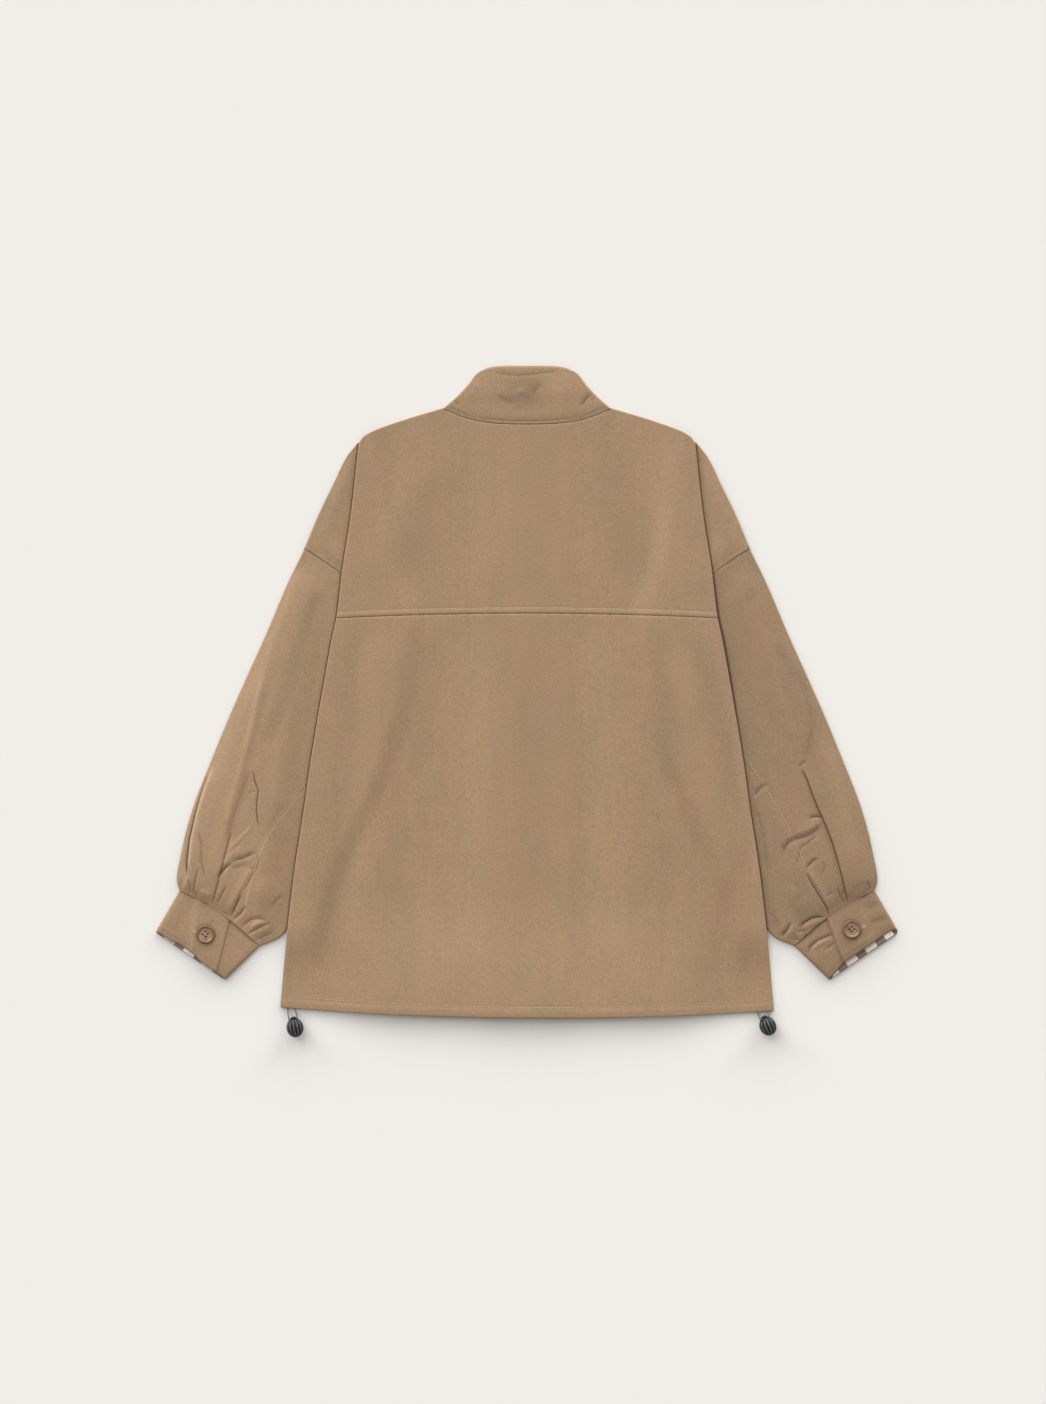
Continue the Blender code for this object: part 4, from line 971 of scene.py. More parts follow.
# The cuffs, buttoned bands with their linings

cuffs = {
    "bow": 6.0, "open": 1.5, "openFrom": 0.6,  # the curve of its top, how far its lower end stands open
    "levels": [(0.1, 8), (0.9, 44), (1, 9)],
    "columns": {"lap": 44, "climb": 56, "floor": 24, "inner": 60},
    "underlap": 0.33, "climb": 0.10, "climbGap": 0.03,  # shares of the width
    "sides": (0.06, 0.94),            # creases and crown keep off the sides
    "crown": 0.7, "crownRise": (0, 0.16), "crownFall": (0.84, 1),
    "endRoll": (0.6, (0.95, 1)), "topRoll": (0.3, (0, 0.05)),
    "buttonSink": (1.1, 11), "buttonShade": (0.36, 11.2, 1.2),  # the button draws the cloth down, and a painted shade ring lies round it
    "dark": 5.5,                      # painted shadow below the button's holes, this far from its middle
    "lapDip": (0.48, 3.0),            # the lap's edge is pressed down: depth and width
    "lapPaintedLight": {"Left": (0.4, 2.2), "Right": None},  # painted light on the cloth beside the left lap's edge, to thin the shadow there
    "Left": {"lapTop": 0.60, "lapEnd": 0.86, "button": (-385.2, -290.4), "creases": [
        ([(-409.2, -255.6), (-416.4, -279.6), (-421.2, -291.6)], -0.4, 6, 6, 0, 0.05),
        ([(-379.8, -279), (-376.2, -273)], -0.3, 1.6, 1.6, 0.35, 0.1),
    ]},
    "Right": {"lapTop": 0.57, "lapEnd": 0.73, "button": (389.3, -284.4), "creases": [
        ([(370.8, -288.6), (358.8, -294), (348, -298.8), (339.6, -306), (336.6, -316.8)], -1.2, 2.2, 2.2, 0.7, 0.3),
        ([(370.8, -298.8), (363.6, -304.8), (355.2, -310.8)], -0.6, 1.8, 1.8, 0.45, 0.1),
        ([(366, -292.8), (351.6, -301.2), (342, -310.8)], 0.8, 3, 3, 0, -0.15),
        ([(433.2, -248.4), (418.8, -255.6), (402, -260.4)], -0.5, 4, 4, 0.06, 0.2),
        ([(439.2, -268.8), (423.6, -273.6), (406.8, -278.4)], -0.5, 4, 4, 0.05, 0.2),
        ([(387.6, -304.8), (409.2, -298.8), (428.4, -286.8)], 0.5, 6, 6, 0, -0.08),
    ]},
    "lining": {"wall": 0.9, "above": 0.35, "sides": 0.06, "top": 0.80, "end": 0.992, "rows": 8, "columns": 60,
               "lift": (0.25, (0.9, 0.98))},
}


def cuffShort(flank, across):  # share of the height where the upper side ends, so that the lining shows
    if flank == "Right":
        return 0.865 + 0.09 * smooth(0.70, 0.95, across) + 0.03 * (1 - smooth(0, 0.12, across))
    return 0.965 - 0.055 * smooth(0.2, 0.32, across) * (1 - smooth(0.52, 0.66, across))


def cuffPlace(level, across):
    outer = cuffCorners["outerTop"].lerp(cuffCorners["outerEnd"], level)
    inner = cuffCorners["innerTop"].lerp(cuffCorners["innerEnd"], level)
    up = (cuffCorners["outerTop"] - cuffCorners["outerEnd"]).normalized()
    return outer.lerp(inner, across) + up * (4 * across * (1 - across) * cuffs["bow"] * (1 - level) ** 2)


def cuffLevel(flank, creases, level):  # a row of places and heights all round, and marks where it shows
    direction, end, columns = flanks[flank], cuffs[flank], cuffs["columns"]
    width = (cuffPlace(level, 0) - cuffPlace(level, 1)).length
    upper = layers["second"] + cuffs["open"] * smooth(0, cuffs["openFrom"], level)
    near = (layers["wall"] / 2 + (upper - layers["onFloor"]) / 2) / width
    lap = mix(end["lapTop"], end["lapEnd"], level)
    climbed = lap - cuffs["underlap"] - cuffs["climbGap"]
    crownHere = cuffs["crown"] * smooth(*cuffs["crownRise"], level) * (1 - smooth(*cuffs["crownFall"], level))
    (endDeep, endRun), (topDeep, topRun) = cuffs["endRoll"], cuffs["topRoll"]
    crownHere -= endDeep * smooth(*endRun, level) + topDeep * (1 - smooth(*topRun, level))
    row, mark = [], []

    def lay(place, z, marked=None):
        row.append((direction * place.x, place.y, z))
        mark.append(marked)

    def top(across, raised):
        place = cuffPlace(level * cuffShort(flank, across), across)
        x, y = direction * place.x, place.y
        height, dark, strength, shade = creaseHeight(creases, x, y)
        first, last = cuffs["sides"]
        inside = smooth(0, first, across) * (1 - smooth(last, 1, across))
        away = math.dist((x, y), end["button"])
        sinkDeep, sinkWide = cuffs["buttonSink"]
        sink = sinkDeep * math.exp(-(away / sinkWide) ** 4)
        # painted shade in a ring round the button; beside the left lap's edge, painted light
        shade += hump(away, *cuffs["buttonShade"])
        if cuffs["lapPaintedLight"][flank] and not raised:
            lighter, lightWide = cuffs["lapPaintedLight"][flank]
            shade -= hump((across - lap) * width, lighter, 0, lightWide)
        # under the button the cloth gets a painted shadow, seen through its holes
        marked = (0, 1.3, 0) if away < cuffs["dark"] else (dark, strength * inside, shade * inside)
        lay(place, upper + raised + (height + crownHere - sink) * inside, marked)

    def turn(atOuter):
        steps = turnPoints(layers["wall"] / 2, upper, layers["onFloor"], -1)
        for i, (across, z) in enumerate(steps if atOuter else reversed(steps), 1):
            share = i / (len(steps) + 1)
            if atOuter:
                lay(cuffPlace(level * mix(cuffShort(flank, 0), 1, share), across / width), z)
            else:
                lay(cuffPlace(level * mix(1, cuffShort(flank, 1), share), 1 - across / width), z)

    dipDeep, dipWide = cuffs["lapDip"]
    for across in spread(lap, climbed, columns["lap"]):
        top(across, layers["step"] - hump((across - lap) * width, dipDeep, 0, dipWide))
    for across in spread(climbed, near, columns["climb"])[1:]:
        top(across, layers["step"] * smooth(climbed - cuffs["climb"], climbed, across))
    turn(True)
    for across in spread(near, 1 - near, columns["floor"]):
        lay(cuffPlace(level, across), layers["onFloor"])
    turn(False)
    for across in spread(1 - near, lap - cuffs["underlap"], columns["inner"]):
        top(across, 0)
    return row, mark


def layLining(flank):
    lining = cuffs["lining"]
    liftHigh, liftRun = lining["lift"]
    rows = []
    for level in spread(lining["top"], lining["end"], lining["rows"]):
        z = layers["wall"] + lining["above"] + lining["wall"] / 2 + liftHigh * smooth(*liftRun, level)
        row = [cuffPlace(level, across) for across in spread(lining["sides"], 1 - lining["sides"], lining["columns"])]
        rows.append([(flanks[flank] * place.x, place.y, z) for place in row])
    layCloth(f"cuffLining{flank}", rows, thickness=lining["wall"])


for flank in flanks:
    creases = makeCreases(cuffs[flank]["creases"])
    laid = [cuffLevel(flank, creases, level) for level in stations(0, *cuffs["levels"])]
    rows, marks = zip(*laid)
    layCloth(f"cuffCloth{flank}", rows, marks=lambda x, y, level, column: marks[level][column])
    layLining(flank)
print("cuffs laid")


# Stitches: short raised threads laid on the visible cloth along each seam

bpy.context.view_layer.update()
surfaces = []
for piece in clothPieces.values():
    evaluated = piece.evaluated_get(bpy.context.evaluated_depsgraph_get())
    worn = evaluated.to_mesh()
    points, faces = [v.co.copy() for v in worn.vertices], [list(face.vertices) for face in worn.polygons]
    surfaces.append(BVHTree.FromPolygons(points, faces))
    evaluated.to_mesh_clear()

stitch = {
    "pitch": 3.5, "length": 2.5, "width": 0.62, "height": 0.34, "lift": 0.08, "uneven": (0.92, 1.06),
    "sides": 6, "rings": 4, "from": 60.0,  # faces round and along, and how high above the cloth it is looked for
}
random.seed(7)
stitchPieces = {}


def onCloth(x, y):  # where a plumb line meets the cloth, and its normal there
    best = None
    for surface in surfaces:
        place, normal, _, _ = surface.ray_cast(Vector((x * mm, y * mm, stitch["from"] * mm)), Vector((0, 0, -1)))
        if place is not None and (best is None or place.z > best[0].z):
            best = (place, normal if normal.z > 0 else -normal)
    return best


def sew(name, paths, across=False, **other):  # other gives a pitch, length or width that differs
    pitch, length, width = ({**stitch, **other}[key] for key in ("pitch", "length", "width"))
    threads = bmesh.new()
    for path in paths:
        points = [Vector(point) for point in path]
        walked, runs = 0.0, []
        for a, b in zip(points, points[1:]):
            runs.append((walked, a, b, (b - a).length))
            walked += (b - a).length
        count = max(int(walked / pitch), 1)
        for i in range(count):
            at = (i + 0.5) * walked / count
            start, a, b, span = next(run for run in reversed(runs) if run[0] <= at)
            middle = a.lerp(b, (at - start) / span)
            found = onCloth(middle.x, middle.y)
            if found is None:
                continue
            place, normal = found
            along = (b - a).normalized()
            along = Vector((-along.y, along.x, 0)) if across else Vector((along.x, along.y, 0))
            along = (along - normal * along.dot(normal)).normalized()
            turned = Matrix((along, normal.cross(along), normal)).transposed().to_4x4()
            half = (length / 2 * random.uniform(*stitch["uneven"]), width / 2, stitch["height"] / 2)
            bmesh.ops.create_uvsphere(
                threads, u_segments=stitch["sides"], v_segments=stitch["rings"], radius=1,
                matrix=Matrix.Translation(place + normal * (stitch["lift"] * mm)) @ turned
                @ Matrix.Diagonal((*(value * mm for value in half), 1)),
            )
    stitchPieces[name] = addMesh(name, threads)


def sewAlong(name, place, half, count):
    sew(name, [[place(value) for value in spread(-half, half, count)]])


seams = {  # from each seam to its stitches, then where the rows end
    "yoke": 6.6, "collar": 1.9, "armhole": 4.2, "hem": body["hemChannel"], "sleeve": 2.6,
    "yokeSide": 2.5, "hemSide": 4.0, "collarHalf": 84,
    "armholeRun": (0.02, 0.9), "armholeBelow": 4,
    "sleeveRun": (0.4, 0.865), "sleeveBeside": 3,
    "vent": {"Left": [], "Right": [[(339.6, -214.8), (346.8, -228.0), (355.2, -242.4), (361.2, -255.6)]]},
    "cuff": (3.0 / 58.0, 3.0 / 96.0),  # 3 mm as a share of a cuff's height and width
    "cuffTop": 0.03, "cuffInner": 0.012, "cuffSides": (0.04, 0.965),
    "cuffStitch": {"pitch": 3.0, "length": 2.2, "width": 0.5},
    "steps": {  # of the path that each row follows
        "yoke": 60, "collar": 40, "hem": 60, "armhole": 24, "sleeve": 120, "lap": 20, "foot": 30, "inner": 8,
    },
}


def besideFold(place, beyond):  # whether a place lies out from the back's fold by more than this
    return abs(place[0]) > side(place[1], "fold") + beyond


def sewSleeve(flank):
    turned = flanks[flank]
    steps = seams["steps"]
    drop = [armhole(share) + intoYoke * seams["armhole"] for share in spread(*seams["armholeRun"], steps["armhole"])]
    sew(f"stitchesArmhole{flank}", [[(turned * p.x, p.y) for p in drop if besideFold(p, -seams["armholeBelow"])]])
    seamPath = []
    for level in spread(*seams["sleeveRun"], steps["sleeve"]):  # on the top part, just beside the back seam
        line = sleeveLine(level)
        place = sleevePlace(line, line[flank] * line["width"] - seams["sleeve"])
        if besideFold(place, seams["sleeveBeside"]):
            seamPath.append((turned * place.x, place.y))
    sew(f"stitchesSleeve{flank}", [seamPath, *seams["vent"][flank]])


def sewCuff(flank):
    end, steps = cuffs[flank], seams["steps"]
    fromEnd, fromLap = seams["cuff"]
    foot = 1 - fromEnd
    lapFoot = mix(end["lapTop"], end["lapEnd"], foot)
    outerSide, innerSide = seams["cuffSides"]

    def onCuff(down, across):  # down from the sleeve and in from the outer side, as shares
        place = cuffPlace(down * cuffShort(flank, across), across)
        return flanks[flank] * place.x, place.y

    lapLine = [
        onCuff(down, mix(end["lapTop"], end["lapEnd"], down) - fromLap)
        for down in spread(seams["cuffTop"], foot, steps["lap"])
    ]
    footLine = [onCuff(foot, across) for across in spread(lapFoot - fromLap, outerSide, steps["foot"])]
    innerFoot = [onCuff(foot, across) for across in spread(lapFoot + seams["cuffInner"], innerSide, steps["inner"])]
    sew(f"stitchesCuff{flank}", [lapLine, footLine, innerFoot], **seams["cuffStitch"])


yokeEnd = side(body["yokeSeamY"], "fold") - seams["yokeSide"]
hemEnd = body["hemHalf"] - seams["hemSide"]
sewAlong("stitchesYoke", lambda x: (x, yokeSeamY(x) + seams["yoke"]), yokeEnd, seams["steps"]["yoke"])
sewAlong(
    "stitchesCollar", lambda t: (t * seams["collarHalf"], neckBackY(t * body["neckHalf"]) + seams["collar"]),
    1.0, seams["steps"]["collar"],
)
sewAlong("stitchesHem", lambda x: (x, hemY(x) + seams["hem"]), hemEnd, seams["steps"]["hem"])
for flank in flanks:
    sewSleeve(flank)
    sewCuff(flank)


# Buttonholes, each an oval of close stitches that passes beyond its button

buttonholes = {
    "half": 12.0, "narrow": 1.5, "steps": 48, "stitch": {"pitch": 0.75, "length": 1.5, "width": 0.6},
    "Left": {"turn": 168.0, "shift": 3.6}, "Right": {"turn": 12.0, "shift": 5.2},
}
for flank in flanks:
    hole = buttonholes[flank]
    turned = math.radians(hole["turn"])
    along = Vector((math.cos(turned), math.sin(turned)))
    half, narrow = along * buttonholes["half"], along.orthogonal() * buttonholes["narrow"]
    middle = Vector(cuffs[flank]["button"]) + along * hole["shift"]
    oval = [
        tuple(middle + half * math.cos(turn) + narrow * math.sin(turn))
        for turn in spread(0, 2 * math.pi, buttonholes["steps"])
    ]
    sew(f"buttonhole{flank}", [oval], across=True, **buttonholes["stitch"])
print("stitches sewn", len(stitchPieces))


# Buttons: a turned dish with a round rim, four holes and its thread

button = {
    "bottom": 6.94, "sides": 56,
    # across and up, from the middle of the dish out to the rim and under
    "profile": [(0.0, 1.65), (4.6, 1.62), (6.2, 1.5), (7.4, 1.55), (8.3, 1.95), (9.0, 2.45), (9.6, 2.68), (10.2, 2.62),
                (10.7, 2.2), (10.9, 1.6), (10.75, 0.9), (10.2, 0.35), (9.2, 0.08), (8.0, 0.0), (0.0, 0.0)],
    "hole": 1.2, "holeOut": 2.95, "holeSides": 12, "holeRun": (-1, 5), "holeTurn": {"Left": 8.0, "Right": -2.0},
    "thread": 0.13, "threadSides": 8, "threadsApart": 0.28, "threadUp": {0: 0.35, 90: 0.75},  # by its turn
}


def turnedPiece(name, profile, steps):  # a closed solid turned from its profile, about Z
    mesh = bmesh.new()
    outline = [mesh.verts.new((x * mm, 0, z * mm)) for x, z in profile]
    edges = [mesh.edges.new(pair) for pair in zip(outline, outline[1:])]
    bmesh.ops.spin(
        mesh, geom=outline + edges, cent=(0, 0, 0), axis=(0, 0, 1), angle=2 * math.pi, steps=steps, use_merge=True)
    bmesh.ops.remove_doubles(mesh, verts=mesh.verts, dist=0.00001)
    bmesh.ops.recalc_face_normals(mesh, faces=mesh.faces)
    return addMesh(name, mesh)


def cutAway(piece, cutters):  # cuts the shapes out of the piece for good
    for cutter in cutters:
        modifier = piece.modifiers.new("Cut", "BOOLEAN")
        modifier.operation = "DIFFERENCE"
        modifier.object = cutter
    bpy.context.view_layer.update()
    made = bpy.data.meshes.new_from_object(piece.evaluated_get(bpy.context.evaluated_depsgraph_get()))
    piece.modifiers.clear()
    piece.data = made
    for cutter in cutters:
        bpy.data.objects.remove(cutter)


def movedPiece(piece, matrix):  # sets the place into the mesh
    piece.data.transform(matrix)
    piece.data.update()
    return piece


def shifted(x, y, z):
    return Matrix.Translation((x * mm, y * mm, z * mm))


def rod(name, radius, low, high, sides, bend=0.0):  # a straight round bar along Z, softened at its ends
    mesh = bmesh.new()
    bmesh.ops.create_cone(
        mesh, cap_ends=True, segments=sides, radius1=radius * mm, radius2=radius * mm, depth=(high - low) * mm,
        matrix=shifted(0, 0, (high + low) / 2),
    )
    if bend:
        rims = [edge for edge in mesh.edges if abs(edge.verts[0].co.z - edge.verts[1].co.z) < 1e-7]
        bmesh.ops.bevel(mesh, geom=rims, offset=bend * mm, affect="EDGES", segments=3, profile=0.5, material=-1)
    return addMesh(name, mesh, rounded=False)


hardPieces = {}
for flank in flanks:
    piece = turnedPiece(f"button{flank}", button["profile"], button["sides"])
    holeTurn = button["holeTurn"][flank]
    holes = []
    for angle in (math.radians(90 * i + holeTurn) for i in range(4)):
        hole = rod("hole", button["hole"], *button["holeRun"], button["holeSides"])
        holes.append(movedPiece(
            hole, shifted(math.cos(angle) * button["holeOut"], math.sin(angle) * button["holeOut"], 0)))
    cutAway(piece, holes)
    place = shifted(*cuffs[flank]["button"], button["bottom"])
    hardPieces[f"button{flank}"] = movedPiece(piece, place)

    sewnOn = bmesh.new()
    for turn, up in button["threadUp"].items():  # two threads cross below the dish, from hole to hole
        for apart in (-button["threadsApart"], button["threadsApart"]):
            bmesh.ops.create_cone(
                sewnOn, cap_ends=True, segments=button["threadSides"], radius1=button["thread"] * mm,
                radius2=button["thread"] * mm, depth=2 * button["holeOut"] * mm,
                matrix=place @ Matrix.Rotation(math.radians(turn + holeTurn), 4, "Z")
                @ shifted(0, apart, up) @ Matrix.Rotation(math.pi / 2, 4, "Y"),
            )
    stitchPieces[f"buttonThread{flank}"] = addMesh(f"buttonThread{flank}", sewnOn, rounded=False)
print("buttons turned")


# Cord locks: a ribbed egg with a slot for the cord, and a plunger in its bore

lock = {
    "half": (10.3, 11.7, 9.5), "up": 9.6,  # half of its size across, along and up, and its middle's height
    "slot": (12.2, 32.0, 2.5), "slotEnd": -5.0,
    "around": 156, "rings": 44,
    "ribs": 13, "ribDeep": 0.7, "ribLong": 0.5,
    "ribStart": (0.25, 0.6), "ribFoot": (-0.98, -0.7), "ribEnd": (0.62, 0.72),
    "groove": (0.55, 5.6, 0.45), "collar": (0.5, 0.72, 0.03),
    "bore": 3.75, "boreEnd": 20, "boreSides": 32,
    "plunger": 3.4, "from": 3.0, "to": 13.0, "play": 0.35, "plungerSides": 40, "plungerBend": 0.7,
    "Left": {"place": (-277.8, -402.0), "tilt": 10.7, "spin": 12.0},
    "Right": {"place": (288.5, -400.1), "tilt": 23.0, "spin": -58.0},
}


def lockShell(name, spin):  # the ribbed egg, long along Y, with each point's nearness to a rib's crest, which the material paints lighter
    across, long, high = lock["half"]
    mesh = bmesh.new()
    bmesh.ops.create_uvsphere(mesh, u_segments=lock["around"], v_segments=lock["rings"], radius=1)
    crests = []
    for vert in mesh.verts:
        x, y, z = vert.co
        wave = math.cos(lock["ribs"] * (math.atan2(y, x) - spin))
        ribbed = smooth(*lock["ribStart"], math.hypot(x, y)) * smooth(*lock["ribFoot"], z)
        ribbed *= 1 - smooth(*lock["ribEnd"], z)
        crests.append(ribbed * ((1 + wave) / 2) ** 3)
        level = (math.cos(spin) * x + math.sin(spin) * y) * across
        rib = lock["ribDeep"] * (wave - 1) * ribbed - hump(level, *lock["groove"]) - hump(z, *lock["collar"])
        vert.co = (x * (across + rib) * mm, z * (long + rib * lock["ribLong"]) * mm, y * (high + rib) * mm)
    bmesh.ops.recalc_face_normals(mesh, faces=mesh.faces)
    shell = addMesh(name, mesh)
    shell.data.attributes.new("crest", "FLOAT", "POINT").data.foreach_set("value", crests)
    return shell


def makeLock(flank):
    here = lock[flank]
    place = shifted(*here["place"], lock["up"]) @ Matrix.Rotation(math.radians(here["tilt"]), 4, "Z")
    shell = lockShell(f"cordLock{flank}", math.radians(here["spin"]))
    slotMesh = bmesh.new()
    slotPlace = shifted(0, lock["slotEnd"] + lock["slot"][1] / 2, 0) @ Matrix.Diagonal((*lock["slot"], 1))
    bmesh.ops.create_cube(slotMesh, size=mm, matrix=slotPlace)
    slotCutter = addMesh("slot", slotMesh, rounded=False)
    lying = Matrix.Rotation(-math.pi / 2, 4, "X")  # Z up the bar becomes Y
    bore = rod("bore", lock["bore"], lock["from"] - lock["play"], lock["boreEnd"], lock["boreSides"])
    cutAway(shell, [slotCutter, movedPiece(bore, lying)])
    hardPieces[f"cordLock{flank}"] = movedPiece(shell, place)
    plunger = rod(
        f"plunger{flank}", lock["plunger"], lock["from"], lock["to"], lock["plungerSides"], lock["plungerBend"])
    plunger.data.shade_smooth()
    hardPieces[f"plunger{flank}"] = movedPiece(plunger, place @ lying)


for flank in flanks:
    makeLock(flank)
print("cord locks made")


# Materials

tones = {
    "warm": (0.352, 0.222, 0.125), "olive": (0.312, 0.214, 0.119), "rose": (0.343, 0.218, 0.134),
    "thread": (0.58, 0.445, 0.305), "cream": (0.76, 0.66, 0.58), "maroon": (0.073, 0.010, 0.018),
    "horn": (0.20, 0.120, 0.062), "hornLight": (0.36, 0.230, 0.135), "hornRim": (0.13, 0.068, 0.030),
    # creaseShadow is the colour of the painted shadow line in creases
    "creaseShadow": (0.050, 0.018, 0.008), "threadDark": (0.10, 0.055, 0.028),
    "elastic": (0.060, 0.058, 0.050), "elasticLight": (0.150, 0.146, 0.126),
    "black": (0.008, 0.008, 0.009), "rubbedAndHighlit": (0.150, 0.146, 0.156), "floor": (0.80, 0.775, 0.735),
}
middling = (0.3, 0.7)  # where most of a noise lies


def tone(name, strength=1.0):
    return (*(value * strength for value in tones[name]), 1)


def newMaterial(name):
    material = bpy.data.materials.new(name)
    material.use_nodes = True
    return material


def setSocket(material, socket, value):  # to a value, or to another node's socket
    if isinstance(value, bpy.types.NodeSocket):
        material.node_tree.links.new(value, socket)
    else:
        socket.default_value = value


def node(material, kind, settings=None, **inputs):  # adds a node; i0 is its first input, i1 its second
    made = material.node_tree.nodes.new(kind)
    for key, value in (settings or {}).items():
        setattr(made, key, value)
    for key, value in inputs.items():
        numbered = key[0] == "i" and key[1:].isdigit()
        setSocket(material, made.inputs[int(key[1:])] if numbered else made.inputs[key.replace("_", " ")], value)
    return made


def onPiece(material, turn=0.0, shift=(0.0, 0.0)):  # the piece's own coordinates, turned about Z
    place = node(material, "ShaderNodeTexCoord").outputs["Object"]
    turned, moved = (0, 0, math.radians(turn)), (shift[0] * mm, shift[1] * mm, 0)
    return node(material, "ShaderNodeMapping", None, Vector=place, Rotation=turned, Location=moved).outputs[0]


def ownNumber(material, name):  # a number kept on the piece's points
    return node(material, "ShaderNodeAttribute", {"attribute_name": name}).outputs["Fac"]


def noise(material, source, scale, detail=2.0, roughness=0.5):  # scale counts to the metre, three ways
    place = node(material, "ShaderNodeMapping", None, Vector=source, Scale=scale).outputs[0]
    made = node(material, "ShaderNodeTexNoise", None, Vector=place, Scale=1.0, Detail=detail, Roughness=roughness)
    return made.outputs["Fac"]


def bands(material, source, direction, count, **other):  # count to the metre
    scale = count * 2 * math.pi / 20
    settings = {"bands_direction": direction}
    return node(material, "ShaderNodeTexWave", settings, Vector=source, Scale=scale, **other).outputs["Fac"]


def spreadOut(material, source, low, high, to=(0.0, 1.0)):
    return node(
        material, "ShaderNodeMapRange", None, Value=source, From_Min=low, From_Max=high, To_Min=to[0], To_Max=to[1],
    ).outputs[0]


def count(material, operation, *values):
    inputs = {f"i{i}": value for i, value in enumerate(values)}
    return node(material, "ShaderNodeMath", {"operation": operation}, **inputs).outputs[0]


def blend(material, fac, first, second, mode="MIX"):
    made = node(material, "ShaderNodeMix", {"data_type": "RGBA", "blend_type": mode}, i0=fac, i6=first, i7=second)
    return made.outputs[2]


def finishSurface(material, colour, roughness, specular, height, bumpStrength, bumpDeep=0.1, **other):
    bump = node(material, "ShaderNodeBump", None, Height=height, Strength=bumpStrength, Distance=bumpDeep * mm)
    own = {"Base Color": colour, "Roughness": roughness, "Specular IOR Level": specular, "Normal": bump.outputs[0]}
    for key, value in {**own, **other}.items():
        setSocket(material, material.node_tree.nodes["Principled BSDF"].inputs[key], value)
    return material


# The cloth: each pattern's count to the metre across, along and through the cloth
weave = {
    "slub": (190, 16, 60), "grain": (640, 350, 400), "mottle": (17, 10, 10), "patch": (46, 22, 20),
    "mottled": (0.36, 0.64), "patched": (0.38, 0.66), "patchShare": 0.55,
    "slubLight": (0.475, 0.525), "grainLight": (0.367, 0.633), "shadeLight": (1.42, 0.58), "shadeMost": 0.6,
    "threads": 2200, "threadWaver": 0.6, "grainHigh": 1.2, "slubHigh": 0.7, "bump": 0.3,
    "line": (0.3, 1.35), "lineDark": 0.82,  # a crease's painted shadow line: distances in millimetres, darkening
    "rough": (0.60, 0.70), "specular": 0.32, "sheen": 0.05, "sheenRough": 0.4,
}


# strength darkens or lightens a whole piece: painted shade and painted light by piece
def makeCloth(name, turn=0.0, strength=1.0):
    material = newMaterial(name)
    place = onPiece(material, turn)
    slub = noise(material, place, weave["slub"], 2.0)
    grain = noise(material, place, weave["grain"], 2.0, 0.6)
    mottle = spreadOut(material, noise(material, place, weave["mottle"], 4.0, 0.6), *weave["mottled"])
    patch = spreadOut(material, noise(material, place, weave["patch"], 3.0, 0.6), *weave["patched"])
    colour = blend(material, mottle, tone("warm", strength), tone("olive", strength))
    colour = blend(material, count(material, "MULTIPLY", patch, weave["patchShare"]), colour, tone("rose", strength))
    light = count(
        material, "ADD", spreadOut(material, slub, *middling, weave["slubLight"]),
        spreadOut(material, grain, *middling, weave["grainLight"]),
    )
    most = weave["shadeMost"]
    # the shade numbers paint shade, and below 0 painted light, on the cloth
    shade = spreadOut(material, ownNumber(material, "shade"), -most, most, weave["shadeLight"])
    colour = blend(material, 1.0, colour, count(material, "MULTIPLY", light, shade), "MULTIPLY")
    # a painted shadow line along each crease, in the crease shadow colour
    line = count(material, "ABSOLUTE", ownNumber(material, "foldLine"))
    line = spreadOut(material, line, *weave["line"], (weave["lineDark"], 0.0))
    line = count(material, "MULTIPLY", line, ownNumber(material, "creaseShadowStrength"))
    colour = blend(material, line, colour, tone("creaseShadow"))
    waver = {"Distortion": weave["threadWaver"], "Detail": 1.0}
    threads = [bands(material, place, direction, weave["threads"], **waver) for direction in ("X", "Y")]
    height = count(
        material, "ADD", count(material, "MULTIPLY", *threads), count(material, "MULTIPLY", grain, weave["grainHigh"]))
    height = count(material, "ADD", height, count(material, "MULTIPLY", slub, weave["slubHigh"]))
    rough = spreadOut(material, slub, *middling, weave["rough"])
    sheen = {"Sheen Weight": weave["sheen"], "Sheen Roughness": weave["sheenRough"]}
    return finishSurface(material, colour, rough, weave["specular"], height, weave["bump"], **sheen)


check = {  # dark bands to the metre, how dark a single band is, and where its edge lies on the wave
    "bands": 36.0, "dark": 0.8, "edge": (0.5, 0.62), "thread": (700, 700, 90), "threadLight": (0.9, 1.08),
    "rough": 0.85, "specular": 0.5, "bump": 0.3,
}


def makeCheck(name, turn, shift):  # plain gingham in cream and maroon brown
    material = newMaterial(name)
    place = onPiece(material, turn, shift)
    dark = count(material, "ADD", *(
        spreadOut(
            material, bands(material, place, direction, check["bands"], Distortion=0.0), *check["edge"],
            (0.0, check["dark"]),
        )
        for direction in ("X", "Y")
    ))
    thread = noise(material, place, check["thread"])
    colour = blend(material, dark, tone("cream"), tone("maroon"))
    colour = blend(material, 1.0, colour, spreadOut(material, thread, *middling, check["threadLight"]), "MULTIPLY")
    return finishSurface(material, colour, check["rough"], check["specular"], thread, check["bump"])


twisted = {"scale": (1400, 1400, 1400), "light": (0.88, 1.1), "rough": 0.7, "specular": 0.3, "bump": 0.5}


def makeThread(name, colourName):
    material = newMaterial(name)
    twist = noise(material, onPiece(material), twisted["scale"], 1.0)
    colour = blend(material, twist, *(tone(colourName, strength) for strength in twisted["light"]))
    return finishSurface(material, colour, twisted["rough"], twisted["specular"], twist, twisted["bump"])


horn = {
    "cloud": (190, 90, 120), "clouded": (0.36, 0.66), "grain": (1100, 240, 600), "grainLight": (0.93, 1.06),
    "rim": (1.7, 2.4), "rimDark": 0.65,  # heights above the button's bottom between which it darkens
    "rough": 0.28, "specular": 0.40, "bump": 0.1,
}


